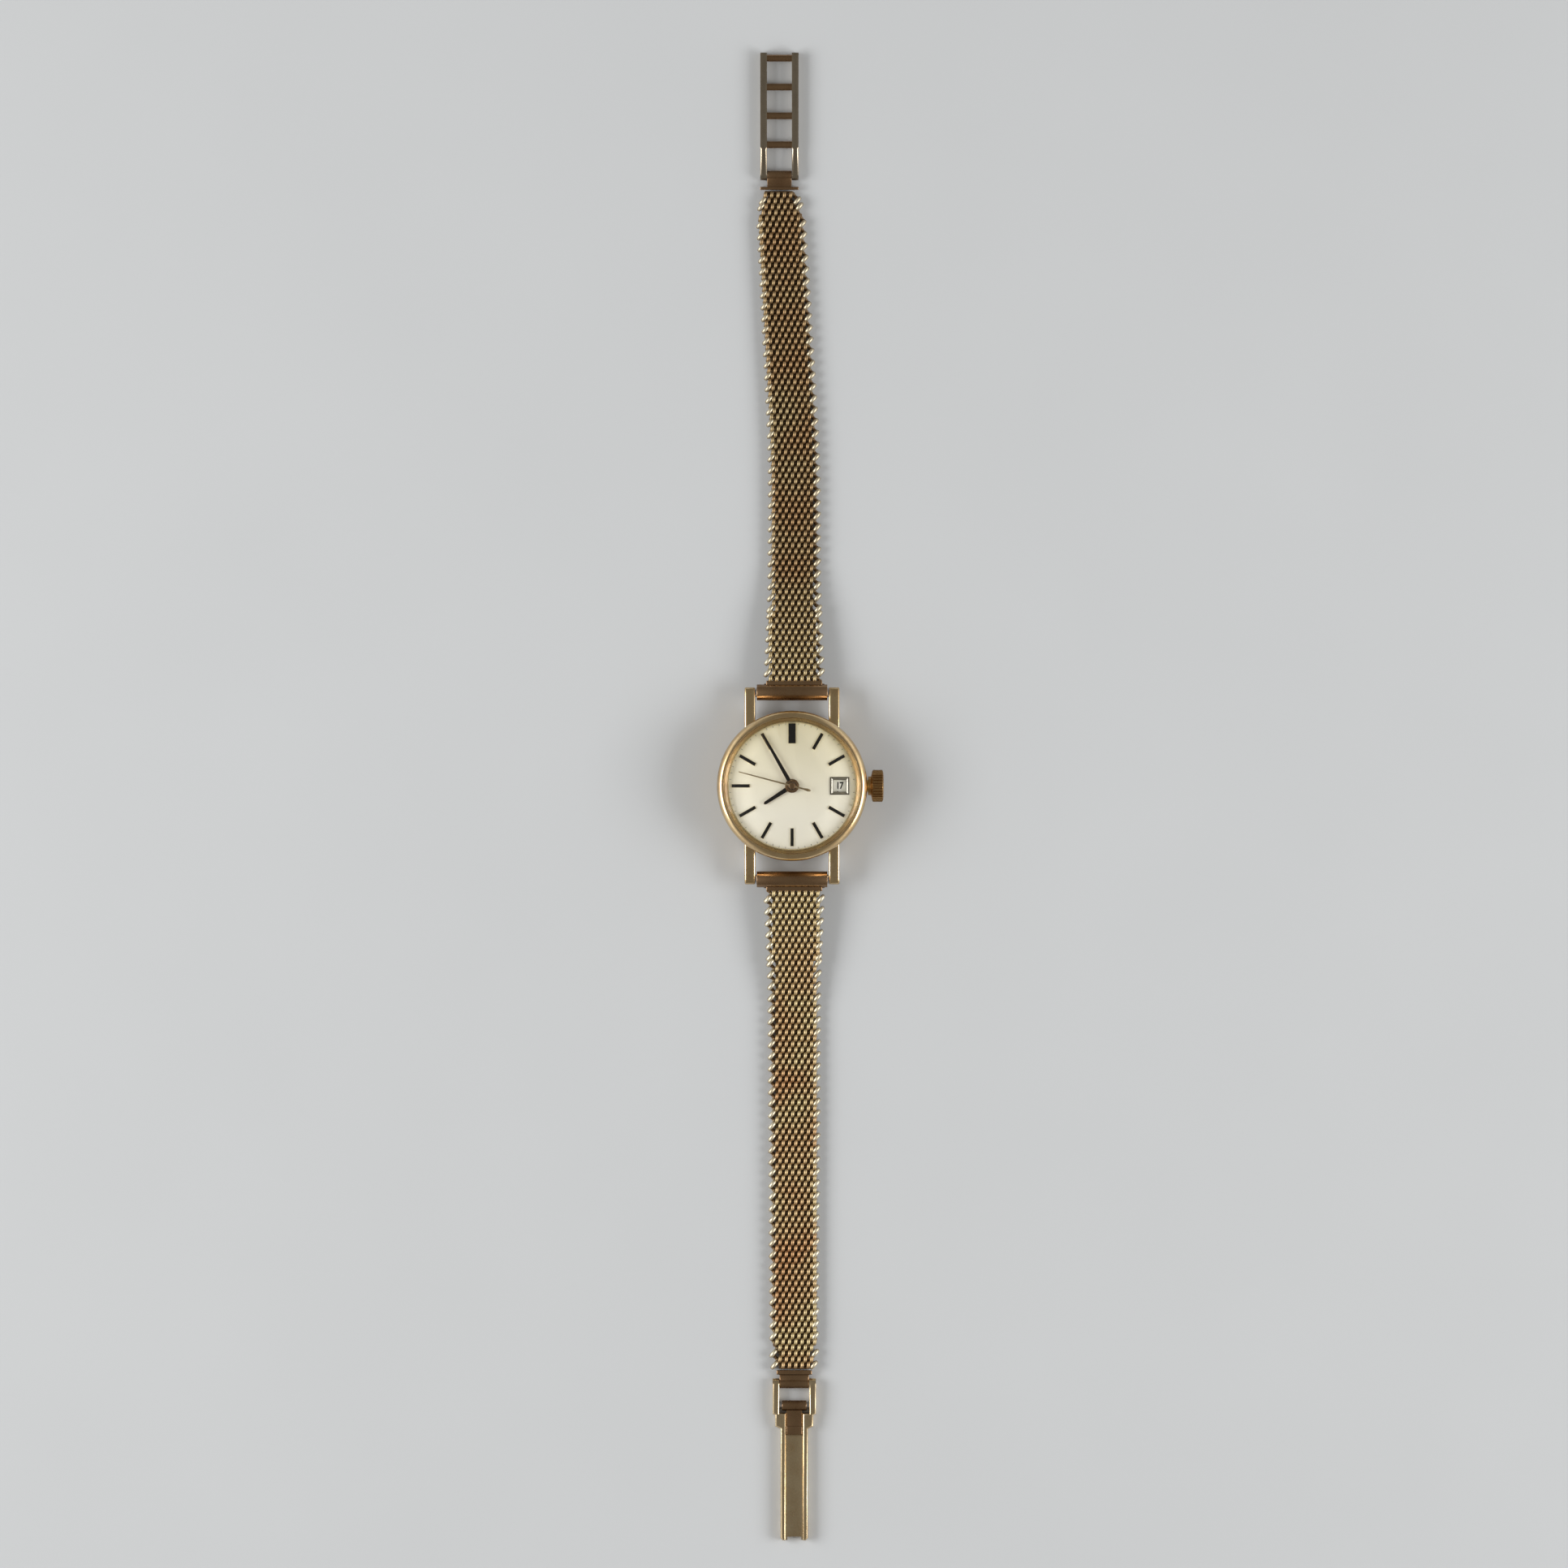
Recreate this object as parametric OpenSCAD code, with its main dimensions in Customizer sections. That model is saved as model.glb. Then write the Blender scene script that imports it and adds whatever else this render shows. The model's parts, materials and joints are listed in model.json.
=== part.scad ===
// Small round automatic wristwatch on a woven mesh band with a ladder and hook clasp.
// Origin: on the flat of the case back, under the centre of the dial. +Z comes out of the dial,
// +Y points to twelve o'clock and the ladder end of the band, +X points to the crown.

/* [Case] */
// Diameter of the case across the bezel
case_d = 20.4; // [20:0.1:24]
// Diameter of the flat on the case back
back_flat_d = 14; // [10:0.5:16]
// Height of the case back below the case middle
back_t = 0.75; // [0.6:0.05:1.2]
// Height of the case middle up to the bezel seat
middle_h = 4.85; // [4.8:0.05:6.5]
// Width of the bezel ring seen from above
bezel_w = 1.03; // [0.8:0.01:1.15]
// Height of the bezel above its seat
bezel_h = 1.4; // [1:0.05:1.5]
// Gap between the two lugs of a pair
lug_gap = 10; // [9.6:0.1:11]
// Width of one lug
lug_w = 1.45; // [1.1:0.05:1.8]
// Radius of the rounded end of a lug
lug_end_r = 0.7; // [0.55:0.05:0.9]
// Distance of a spring bar from the edge of the case
bar_gap = 2.5; // [2.3:0.1:4]
// Height of the spring bars above the case back
bar_z = 2.9; // [2.2:0.1:3.2]

/* [Crystal] */
// Thickness of the crystal dome
crystal_t = 0.9; // [0.6:0.05:1.1]
// Thickness of the crystal wall
crystal_wall = 0.38; // [0.3:0.02:0.5]
// Radius of the crystal dome
crystal_dome_r = 29.6; // [26:0.2:60]
// Height of the rim of the crystal dome above the bezel seat
crystal_rim_h = 1.744; // [1.6:0.004:2.2]

/* [Crown] */
// Diameter of the crown over its teeth
crown_d = 4.4; // [3.6:0.1:5]
// Length of the toothed band of the crown
crown_band = 1.45; // [0.9:0.05:2]
// Teeth round the crown
crown_teeth = 30; // [20:1:40]
// Diameter of the winding stem
stem_d = 0.84; // [0.6:0.02:0.9]

/* [Dial and hands] */
// Thickness of the dial
dial_t = 0.3; // [0.2:0.02:0.4]
// Length of an hour marker
marker_l = 2.45; // [1.5:0.05:2.5]
// Width of an hour marker
marker_w = 0.45; // [0.3:0.01:0.7]
// Length of the hour hand from the centre
hour_l = 4.6; // [3.5:0.1:5.5]
// Gap between the tip of the minute hand and the ring round the dial
minute_gap = 0.47; // [0.3:0.01:2]
// Gap between the tip of the seconds hand and the ring round the dial
seconds_gap = 1.07; // [0.5:0.01:3]
// Width of the date window frame
date_frame_w = 2.6; // [2.2:0.05:3]
// Height of the date window frame
date_frame_h = 2.4; // [2:0.05:2.8]

/* [Movement] */
// Width of the case round the movement
movement_gap = 1.7; // [1.6:0.05:1.8]
// Thickness of the main plate
plate_t = 0.8; // [0.75:0.01:0.9]
// Thickness of the train bridge and the balance cock
bridge_t = 0.7; // [0.5:0.05:0.75]
// Radius of the balance wheel
balance_r = 2.3; // [1.6:0.1:2.35]
// Gap between the winding rotor and the case back
rotor_gap = 0.45; // [0.35:0.05:0.7]

/* [Mesh band] */
// Thickness of the mesh
mesh_t = 1.42; // [1:0.02:1.6]
// Distance from one row of the mesh to the next
mesh_pitch = 0.795; // [0.7:0.005:0.9]
// Width of the mesh at the case
mesh_w = 8.6; // [7.6:0.1:9]
// Width of the mesh past its wider start
mesh_mid_w = 7.7; // [7.2:0.05:8]
// Width of the mesh at its far ends
mesh_end_w = 6.95; // [6.4:0.05:7.5]
// Distance that the mesh sits sideways from the middle of the case
mesh_shift = 0.3; // [0:0.05:0.4]
// Rows in the upper band
upper_rows = 84; // [48:4:96]
// Rows in the lower band
lower_rows = 82; // [48:2:96]
// Sideways lean of the far part of the upper band, as a slope
upper_lean = 0.056; // [0:0.001:0.06]
// Outer diameter of the rolled tube at the case end of the band
tube_d = 2.2; // [2:0.05:2.6]
// Diameter of a spring bar
bar_d = 1.3; // [1.1:0.05:1.4]

/* [Ladder] */
// Outer width of the ladder
ladder_w = 5.2; // [4.8:0.1:5.6]
// Thickness of one ladder rail
rail_w = 0.9; // [0.5:0.05:1]
// Height of the ladder rails
rail_h = 1.4; // [1.3:0.05:1.6]
// Rungs in the ladder
rungs = 4; // [2:1:6]
// Distance from one rung to the next
rung_pitch = 3.93; // [3.2:0.01:4.2]
// Diameter of a rung
rung_d = 0.95; // [0.7:0.05:1.1]

/* [Clasp] */
// Outer width of the forked end of the clasp lever
yoke_w = 5.9; // [5.6:0.1:6.4]
// Width of one arm of the fork
yoke_arm = 0.9; // [0.7:0.05:1]
// Outer width of the channel of the clasp lever
lever_w = 3.75; // [3.5:0.05:4.2]
// Length of the clasp lever from its pin to its tip
lever_l = 21.3; // [16:0.1:26]
// Height of the clasp lever
lever_h = 1.5; // [1.4:0.05:1.6]
// Distance from the lever pin to the hook pin
hook_out = 2.95; // [2.8:0.05:3.2]

/* [Hidden] */

GOLD = [0.80, 0.66, 0.42];
STEEL = [0.75, 0.75, 0.76];
BRASS = [0.78, 0.62, 0.35];
round_fn = 96;
small_fn = 48;
eps = 0.01;

// Clearances
fit = 0.01;
seat = 0.02;
run = 0.04;
hinge_gap = 0.03;
side_play = 0.05;

// Radii of the case, from the outside in
case_r = case_d / 2;
bar_out = case_r + bar_gap;
crystal_r = case_r - bezel_w;
bezel_seat_r = crystal_r + 0.45;
ring_wall = 0.46;
movement_r = case_r - movement_gap;
bore_r = movement_r + ring_wall + 2 * seat;
dial_r = bore_r - 0.1;
window_r = crystal_r - crystal_wall - seat;

// The works are drawn for a movement of 8.5 in radius and then sized to the real one
works_size = movement_r / 8.5;
works_r = movement_r / works_size;
module sized() {
  scale([works_size, works_size, 1]) children();
}

// Heights of the case
seat_z = back_t + middle_h;
rim_z = seat_z + 0.25;
dial_z = seat_z - 0.1;
dial_top = dial_z + dial_t;
dome_rise = crystal_dome_r - sqrt(pow(crystal_dome_r, 2) - pow(crystal_r, 2));
crystal_top = seat_z + crystal_rim_h + dome_rise;
back_lip = 0.45;

// Heights of the movement, from the dial side down
plate_top = dial_z - 0.5;
plate_z = plate_top - plate_t;
train_z = dial_z - 2.6;
bridge_z = train_z - bridge_t;
barrel_bridge_z = dial_z - 2.65;
ratchet_z = dial_z - 2.88;
wind_t = 0.18;
stem_z = dial_z - 1.8;
floor_z = back_t + 0.05;
rotor_z = floor_z + rotor_gap;
rotor_h = bridge_z - 0.15 - rotor_z;
hand_t = 0.1;
hour_z = dial_top + 0.3;
minute_z = hour_z + 0.25;
seconds_z = minute_z + 0.25;

// Turn of a wheel that puts a gap of it on a tooth of the wheel it meshes with. The other
// wheel has its own teeth and turn, and sees this one in the given direction
function mesh_turn(other, other_turn, teeth, direction) =
  let (place = other * (direction - other_turn) / 360, part = place - floor(place))
  direction + 180 - (0.5 - part) * 360 / teeth;

// Places of the train, as distance from the centre and angle
function at(d, a) = [d * cos(a), d * sin(a)];
barrel_angle = 50;
third_angle = 185;
escape_angle = 247;
barrel_at = at(4.2, barrel_angle);
third_at = at(3.6, third_angle);
escape_at = at(3.5, escape_angle);
balance_at = [1.9, -5.4];
fork_at = escape_at + 2.1 * (balance_at - escape_at) / norm(balance_at - escape_at);
crown_wheel_at = [5.1, 0];
works_angle = 300;
minute_wheel_at = at(2.4, works_angle);

// Places of the bands; side is 1 for the upper band and -1 for the lower one
row_r = mesh_t / 2;
hinge_row_r = (mesh_pitch - hinge_gap) / 2;
sections = 4;
tube_r = tube_d / 2;
tongue_l = 0.1;
flare_rows = 16;
first_row = tube_r + tongue_l + row_r;
function rows(side) = side > 0 ? upper_rows : lower_rows;
function section_end(side, k) = round(k * rows(side) / sections) - 1;
function slope_run(side) = first_row + mesh_pitch * section_end(side, 1);
function slope(side) = asin((bar_z - row_r) / slope_run(side));
bend_run = 15 * mesh_pitch;
bend_start = row_out(1, 31);
// Sideways place of a band's centre line at a distance y from the case
function lean(side, y) = mesh_shift + (side < 0 || y < bend_start ? 0 :
  y < bend_start + bend_run ? -upper_lean * pow(y - bend_start, 2) / (2 * bend_run) :
  -upper_lean * (y - bend_start - bend_run / 2));
function row_out(side, i) = i <= section_end(side, 1) ?
  bar_out + (first_row + mesh_pitch * i) * cos(slope(side)) :
  bar_out + slope_run(side) * cos(slope(side)) + mesh_pitch * (i - section_end(side, 1));
function row_z(side, i) = i <= section_end(side, 1) ?
  bar_z - (first_row + mesh_pitch * i) * sin(slope(side)) : row_r;
function end_taper(side, i) =
  let (left = rows(side) - 1 - i) side > 0 ? max(0, 3 - left) * 0.5 : max(0, 1 - left) * 0.3;
function row_w(side, i) =
  mesh_mid_w + (mesh_end_w - mesh_mid_w) * i / (rows(side) - 1) +
  (mesh_w - mesh_mid_w) * max(0, 1 - i / flare_rows) - end_taper(side, i) - (i % 2) * 0.16;
function by_hinge(side, i) =
  len([for (k = [1:sections - 1]) if (i == section_end(side, k) || i == section_end(side, k) + 1) k]) > 0;

// Far ends of the bands
mesh_end_y = row_out(1, upper_rows - 1) + row_r;
mesh_end_low = row_out(-1, lower_rows - 1) + row_r;
ladder_pin_out = 2;
ladder_pin_z = rail_h / 2;
lever_pin_out = 1.85;
lever_pin_z = lever_h / 2;
hook_pin_z = lever_pin_z + 0.05;
pin_r = 0.32;

// A toothed outline with straight-sided teeth about its pitch circle
module gear_outline(teeth, pitch_r, depth) {
  polygon([for (i = [0:teeth - 1]) for (p = [
    [-0.32, -0.55], [-0.14, 0.45], [0.14, 0.45], [0.32, -0.55]
  ])
    let (a = (i + p[0]) * 360 / teeth, r = pitch_r + depth * p[1]) [r * cos(a), r * sin(a)]
  ]);
}

// A wheel with teeth, arms and a bore
module wheel(teeth, pitch_r, t, bore, arms = 0, turn = 0) {
  depth = 4.2 * pitch_r / teeth;
  difference() {
    linear_extrude(t) rotate(turn) gear_outline(teeth, pitch_r, depth);
    if (bore > 0)
      translate([0, 0, -1]) cylinder(r = bore, h = t + 2, $fn = small_fn);
    if (arms > 0)
      translate([0, 0, -1]) linear_extrude(t + 2) difference() {
        circle(r = pitch_r - 0.4, $fn = round_fn);
        circle(r = 0.22 * pitch_r, $fn = small_fn);
        for (i = [0:arms - 1])
          rotate(i * 360 / arms) translate([0, -0.12]) square([pitch_r, 0.24]);
      }
  }
}

// A flat spiral strip between two radii
module spiral(r0, r1, turns, t, steps) {
  n = turns * steps;
  function on(i, off) = let (r = r0 + (r1 - r0) * i / n + off, a = 360 * i / steps)
    [r * cos(a), r * sin(a)];
  polygon(concat([for (i = [0:n]) on(i, t / 2)], [for (i = [n:-1:0]) on(i, -t / 2)]));
}

module rod_x(r, length, fn = small_fn) {
  rotate([0, 90, 0]) cylinder(r = r, h = length, center = true, $fn = fn);
}

module tube_between(r_in, r_out, z0, z1) {
  difference() {
    translate([0, 0, z0]) cylinder(r = r_out, h = z1 - z0, $fn = round_fn);
    translate([0, 0, z0 - 1]) cylinder(r = r_in, h = z1 - z0 + 2, $fn = round_fn);
  }
}

module sector(a0, a1, r) {
  polygon(concat([[0, 0]], [for (i = [0:12]) 2 * r * [cos(a0 + (a1 - a0) * i / 12),
    sin(a0 + (a1 - a0) * i / 12)]]));
}

// Case
module lug_outline(root_y) {
  union() {
    translate([bar_out, bar_z]) circle(r = lug_end_r, $fn = small_fn);
    polygon([
      [bar_out, bar_z + lug_end_r], [root_y, seat_z - 1], [root_y, back_t + 0.5],
      [bar_out, bar_z - lug_end_r]
    ]);
  }
}

bar_tip_r = 0.35;
bar_tip_l = 0.8;
tube_hole_r = stem_d / 2 + run + 0.38;

module case_middle() {
  root_y = sqrt(pow(bore_r, 2) - pow(lug_gap / 2, 2)) + 0.2;
  color(GOLD) difference() {
    union() {
      rotate_extrude($fn = round_fn) polygon([
        [bore_r + 0.25, back_t], [case_r - 0.6, back_t], [case_r - 0.15, back_t + 0.7],
        [case_r, back_t + 1.4], [case_r, seat_z - 0.9], [case_r - 0.12, seat_z],
        [bezel_seat_r, seat_z], [bezel_seat_r, rim_z], [bore_r, rim_z],
        [bore_r, back_t + 0.25], [bore_r + 0.25, back_t + 0.25]
      ]);
      for (side = [-1, 1]) for (x = [-1, 1])
        translate([x * (lug_gap + lug_w) / 2, 0, 0])
          rotate([0, 0, side > 0 ? 0 : 180]) rotate([90, 0, 90])
            linear_extrude(lug_w, center = true) lug_outline(root_y);
    }
    for (side = [-1, 1])
      translate([0, side * bar_out, bar_z])
        rod_x(bar_tip_r + run, lug_gap + 2 * (bar_tip_l + 0.05));
    translate([0, 0, stem_z]) rotate([0, 90, 0])
      cylinder(r = tube_hole_r, h = case_r + 1, $fn = small_fn);
  }
}

module bezel() {
  low = seat_z + seat;
  rise = bezel_h - seat;
  in_r = crystal_r + seat;
  round_w = case_r - in_r - 0.18;
  color(GOLD) rotate_extrude($fn = round_fn) polygon(concat(
    [[bezel_seat_r + seat, low], [case_r - 0.06, low], [case_r, low + 0.12]],
    [for (a = [10:10:80]) [case_r - round_w * (1 - cos(a)), low + 0.3 + (rise - 0.3) * sin(a)]],
    [[in_r + 0.18, low + rise], [in_r, low + rise - 0.12], [in_r, rim_z + seat],
      [bezel_seat_r + seat, rim_z + seat]]
  ));
}

module crystal() {
  in_r = crystal_r - crystal_wall;
  color([0.85, 0.88, 0.9, 0.35]) difference() {
    intersection() {
      translate([0, 0, crystal_top - crystal_dome_r]) sphere(r = crystal_dome_r, $fn = 180);
      translate([0, 0, rim_z + seat]) cylinder(r = crystal_r, h = crystal_top, $fn = round_fn);
    }
    intersection() {
      translate([0, 0, crystal_top - crystal_dome_r])
        sphere(r = crystal_dome_r - crystal_t, $fn = 180);
      translate([0, 0, rim_z - 1]) cylinder(r = in_r, h = crystal_top, $fn = round_fn);
    }
  }
}

module tension_ring() {
  z0 = max(dial_top, rim_z) + seat;
  dome_z = crystal_top - crystal_dome_r + sqrt(pow(crystal_dome_r - crystal_t, 2) - pow(window_r, 2));
  z1 = dome_z - 0.107;
  color(GOLD) rotate_extrude($fn = round_fn) polygon([
    [window_r - 0.2, z0], [window_r, z0], [window_r, z1], [window_r - 0.12, z1]
  ]);
}

module case_back() {
  lip_r = bore_r - 0.07;
  color(STEEL) rotate_extrude($fn = round_fn) polygon([
    [0, 0], [back_flat_d / 2, 0], [bore_r, 0.3], [bore_r + 0.35, back_t - 0.15],
    [bore_r + 0.35, back_t - seat], [lip_r, back_t - seat], [lip_r, back_t + back_lip],
    [lip_r - 0.38, back_t + back_lip], [lip_r - 0.38, floor_z], [0, floor_z]
  ]);
}

module case_back_gasket() {
  color([0.12, 0.12, 0.12]) tube_between(bore_r + 0.02, bore_r + 0.23, back_t, back_t + 0.22);
}

module movement_ring() {
  color(BRASS) difference() {
    tube_between(movement_r + seat, movement_r + seat + ring_wall, train_z, plate_top);
    translate([0, 0, stem_z]) rotate([0, 90, 0])
      cylinder(r = stem_d / 2 + 0.15, h = case_r, $fn = small_fn);
  }
}

module crown_tube() {
  color(BRASS) translate([bore_r + 0.05, 0, stem_z]) rotate([0, 90, 0]) difference() {
    cylinder(r = tube_hole_r - fit, h = case_r + 0.3 - bore_r - 0.05, $fn = small_fn);
    translate([0, 0, -1]) cylinder(r = stem_d / 2 + run, h = case_r, $fn = small_fn);
  }
}

crown_x = case_r + 0.12;
crown_neck = 0.4;
crown_cone = 0.15;

module crown() {
  crown_r = crown_d / 2;
  neck_r = tube_hole_r + 0.45;
  end_x = crown_neck + crown_cone + crown_band;
  color(GOLD) translate([crown_x, 0, stem_z]) rotate([0, 90, 0]) difference() {
    union() {
      cylinder(r = neck_r, h = crown_neck + eps, $fn = small_fn);
      translate([0, 0, crown_neck])
        cylinder(r1 = neck_r, r2 = crown_r - 0.16, h = crown_cone + eps, $fn = small_fn);
      translate([0, 0, crown_neck + crown_cone])
        linear_extrude(crown_band) gear_outline(crown_teeth, crown_r - 0.08, 0.16);
      translate([0, 0, end_x - eps])
        cylinder(r1 = crown_r - 0.16, r2 = crown_r - 0.4, h = 0.16, $fn = small_fn);
    }
    translate([0, 0, -eps]) cylinder(r = tube_hole_r + run, h = 0.5, $fn = small_fn);
    cylinder(r = stem_d / 2 + fit, h = end_x - 0.5, $fn = small_fn);
  }
}

stem_end_x = 5.9 * works_size;

module winding_stem() {
  last_x = crown_x + crown_neck + crown_cone + crown_band - 0.55;
  color(STEEL) translate([stem_end_x, 0, stem_z]) rotate([0, 90, 0])
    cylinder(r = stem_d / 2, h = last_x - stem_end_x, $fn = small_fn);
}

// Dial side
marker_out = window_r - 0.57;

module dial() {
  color([0.9, 0.88, 0.8]) translate([0, 0, dial_z]) linear_extrude(dial_t) difference() {
    circle(r = dial_r, $fn = round_fn);
    circle(r = 0.78 * works_size, $fn = small_fn);
    translate([date_x, 0]) square([date_frame_w - 0.9, date_frame_h - 0.8], center = true);
  }
}

date_x = 6.46 * works_size;
marker_h = 0.18;

module hour_markers() {
  color(GOLD) translate([0, 0, dial_top]) for (h = [1:12]) if (h != 3) {
    wide = h == 12 ? 1.0 : marker_w;
    far = h == 12 ? marker_out + 0.3 : marker_out;
    rotate(90 - 30 * h) translate([far, 0, 0]) rotate([90, 0, -90])
      linear_extrude(h == 12 ? marker_l + 0.3 : marker_l) polygon([
        [-wide / 2, 0], [wide / 2, 0], [wide / 2, marker_h * 0.7], [wide / 2 - 0.08, marker_h],
        [-wide / 2 + 0.08, marker_h], [-wide / 2, marker_h * 0.7]
      ]);
  }
}

module date_window_frame() {
  color(GOLD) translate([date_x, 0, dial_top]) linear_extrude(0.16) difference() {
    square([date_frame_w, date_frame_h], center = true);
    square([date_frame_w - 0.9, date_frame_h - 0.8], center = true);
  }
}

module date_ring() {
  inner = 5.2;
  color([0.95, 0.95, 0.93]) translate([0, 0, plate_top + 0.08]) linear_extrude(0.2)
    difference() {
      circle(r = 7.75, $fn = round_fn);
      circle(r = inner, $fn = round_fn);
      for (i = [0:30])
        rotate((i + 0.5) * 360 / 31) translate([inner - 0.1, 0])
          polygon([[0, -0.32], [0.3, 0], [0, 0.32]]);
    }
}

cannon_r = 0.5;
cannon_bore = 0.37;
pipe_r = 0.68;

// A tapered baton hand that points along +Y
module baton_outline(length, root_w, tip_w, hub_r, bore) {
  difference() {
    union() {
      circle(r = hub_r, $fn = small_fn);
      polygon([
        [-root_w / 2, 0], [root_w / 2, 0], [tip_w / 2, length - tip_w], [0, length],
        [-tip_w / 2, length - tip_w]
      ]);
    }
    circle(r = bore, $fn = small_fn);
  }
}

hour_angle = 237.3;
minute_angle = 330.4;
seconds_angle = 284.8;

module hour_hand() {
  color(GOLD) translate([0, 0, hour_z]) rotate(-hour_angle) linear_extrude(hand_t)
    baton_outline(hour_l, 0.62, 0.42, 0.95, pipe_r + fit);
}

module minute_hand() {
  color(GOLD) translate([0, 0, minute_z]) rotate(-minute_angle) linear_extrude(hand_t)
    baton_outline((window_r - 0.2 - minute_gap) / works_size, 0.56, 0.32, 0.78, cannon_r + fit);
}

seconds_arbor = 0.13;

module seconds_hand() {
  seconds_l = (window_r - 0.2 - seconds_gap) / works_size;
  color(GOLD) translate([0, 0, seconds_z]) rotate(-seconds_angle) difference() {
    union() {
      linear_extrude(0.07) union() {
        circle(r = 0.48, $fn = small_fn);
        polygon([[-0.11, 0], [0.11, 0], [0.05, seconds_l], [-0.05, seconds_l]]);
        polygon([[-0.12, 0], [0.12, 0], [0.2, -2.2], [0.1, -2.6], [-0.1, -2.6], [-0.2, -2.2]]);
      }
      translate([0, 0, -0.12]) cylinder(r = 0.3, h = 0.25, $fn = small_fn);
    }
    translate([0, 0, -1]) cylinder(r = seconds_arbor + fit, h = 2, $fn = small_fn);
  }
}

works_z = plate_top + 0.07;

module hour_wheel() {
  color(BRASS) union() {
    translate([0, 0, works_z + 0.2])
      wheel(40, 1.92, 0.12, cannon_r + run, turn = mesh_turn(10, 0, 40, works_angle + 180));
    tube_between(cannon_r + run, pipe_r, works_z + 0.2, hour_z + hand_t);
  }
}

module cannon_pinion() {
  color(STEEL) union() {
    translate([0, 0, works_z]) wheel(12, 0.6, 0.15, cannon_bore);
    tube_between(cannon_bore, cannon_r, works_z, minute_z + hand_t);
  }
}

module minute_wheel() {
  color(BRASS) translate([minute_wheel_at[0], minute_wheel_at[1], 0]) union() {
    translate([0, 0, works_z]) wheel(36, 1.8, 0.13, 0.16, turn = mesh_turn(12, 0, 36, works_angle));
    translate([0, 0, works_z + 0.12]) wheel(10, 0.48, 0.22, 0.16);
  }
}

// Main plate and bridges
pivot_r = 0.1;
barrel_drum_r = 3.4;
fork_pin = 0.09;

module main_plate() {
  color(STEEL) difference() {
    union() {
      translate([0, 0, plate_z]) cylinder(r = works_r, h = plate_t, $fn = round_fn);
      tube_between(works_r - 0.5, works_r, plate_z, dial_z - fit);
      translate([minute_wheel_at[0], minute_wheel_at[1], plate_z])
        cylinder(r = 0.14, h = plate_t + 0.4, $fn = small_fn);
    }
    translate([0, 0, plate_z - 1]) cylinder(r = 0.42, h = plate_t + 2, $fn = small_fn);
    translate([barrel_at[0], barrel_at[1], plate_z - 1])
      cylinder(r = barrel_drum_r + 0.1, h = plate_t + 0.8, $fn = round_fn);
    translate([barrel_at[0], barrel_at[1], plate_z - 1])
      cylinder(r = 0.24, h = plate_t + 2, $fn = small_fn);
    translate([6.05, -0.95, plate_z - 1]) cube([1.25, 1.9, plate_t + 0.75]);
    for (p = [third_at, escape_at, fork_at, balance_at])
      translate([p[0], p[1], plate_z - 1]) cylinder(r = pivot_r + 0.03, h = plate_t + 2, $fn = small_fn);
    for (p = screw_places)
      translate([p[0], p[1], plate_z - 1]) cylinder(r = 0.2, h = plate_t + 2, $fn = small_fn);
  }
}

bridge_r = works_r - 0.2;
// Each screw: place, and 1 where it holds the barrel bridge
screw_places = [at(7.4, 105), at(7.4, -21), at(7.75, 160), at(7.75, 205), at(7.75, 250),
  [5.8, -4.85]];
screw_on_barrel = [1, 1, 0, 0, 0, 0];

module screw_holes(on_barrel) {
  for (i = [0:len(screw_places) - 1]) if (screw_on_barrel[i] == on_barrel) {
    z0 = on_barrel ? barrel_bridge_z : bridge_z;
    translate([screw_places[i][0], screw_places[i][1], z0 - 1]) {
      cylinder(r = 0.45, h = 1.25, $fn = small_fn);
      cylinder(r = 0.22, h = 6, $fn = small_fn);
    }
  }
}

module barrel_bridge() {
  t = 0.62;
  color(STEEL) difference() {
    union() {
      translate([0, 0, barrel_bridge_z]) linear_extrude(t) intersection() {
        difference() {
          circle(r = bridge_r, $fn = round_fn);
          circle(r = 3.4, $fn = round_fn);
        }
        sector(-28, 118, bridge_r);
      }
      for (i = [0, 1])
        translate([screw_places[i][0], screw_places[i][1], barrel_bridge_z + t - eps])
          cylinder(r = 0.55, h = plate_z - barrel_bridge_z - t, $fn = small_fn);
      translate([crown_wheel_at[0], crown_wheel_at[1], ratchet_z - 0.1])
        cylinder(r = 0.5, h = 0.5, $fn = small_fn);
    }
    translate([5.9, -1.25, barrel_bridge_z - 1]) cube([3, 2.5, 3]);
    translate([barrel_at[0], barrel_at[1], barrel_bridge_z - 1])
      cylinder(r = 0.35 + run, h = 3, $fn = small_fn);
    screw_holes(1);
  }
}

module train_bridge() {
  color(STEEL) difference() {
    union() {
      translate([0, 0, bridge_z]) linear_extrude(bridge_t) union() {
        circle(r = 1.3, $fn = small_fn);
        intersection() {
          circle(r = bridge_r, $fn = round_fn);
          sector(150, 262, bridge_r);
        }
      }
      translate([0, 0, train_z - eps]) linear_extrude(plate_z - train_z) intersection() {
        difference() {
          circle(r = bridge_r, $fn = round_fn);
          circle(r = 7.15, $fn = round_fn);
        }
        sector(150, 262, bridge_r);
      }
      translate([0, 0, rotor_z - 0.05])
        cylinder(r = 0.5, h = bridge_z - rotor_z + 0.06, $fn = small_fn);
    }
    for (p = [third_at, escape_at, [0, 0]])
      translate([p[0], p[1], bridge_z + 0.3]) cylinder(r = seconds_arbor + 0.02, h = 2, $fn = small_fn);
    screw_holes(0);
  }
}

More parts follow.
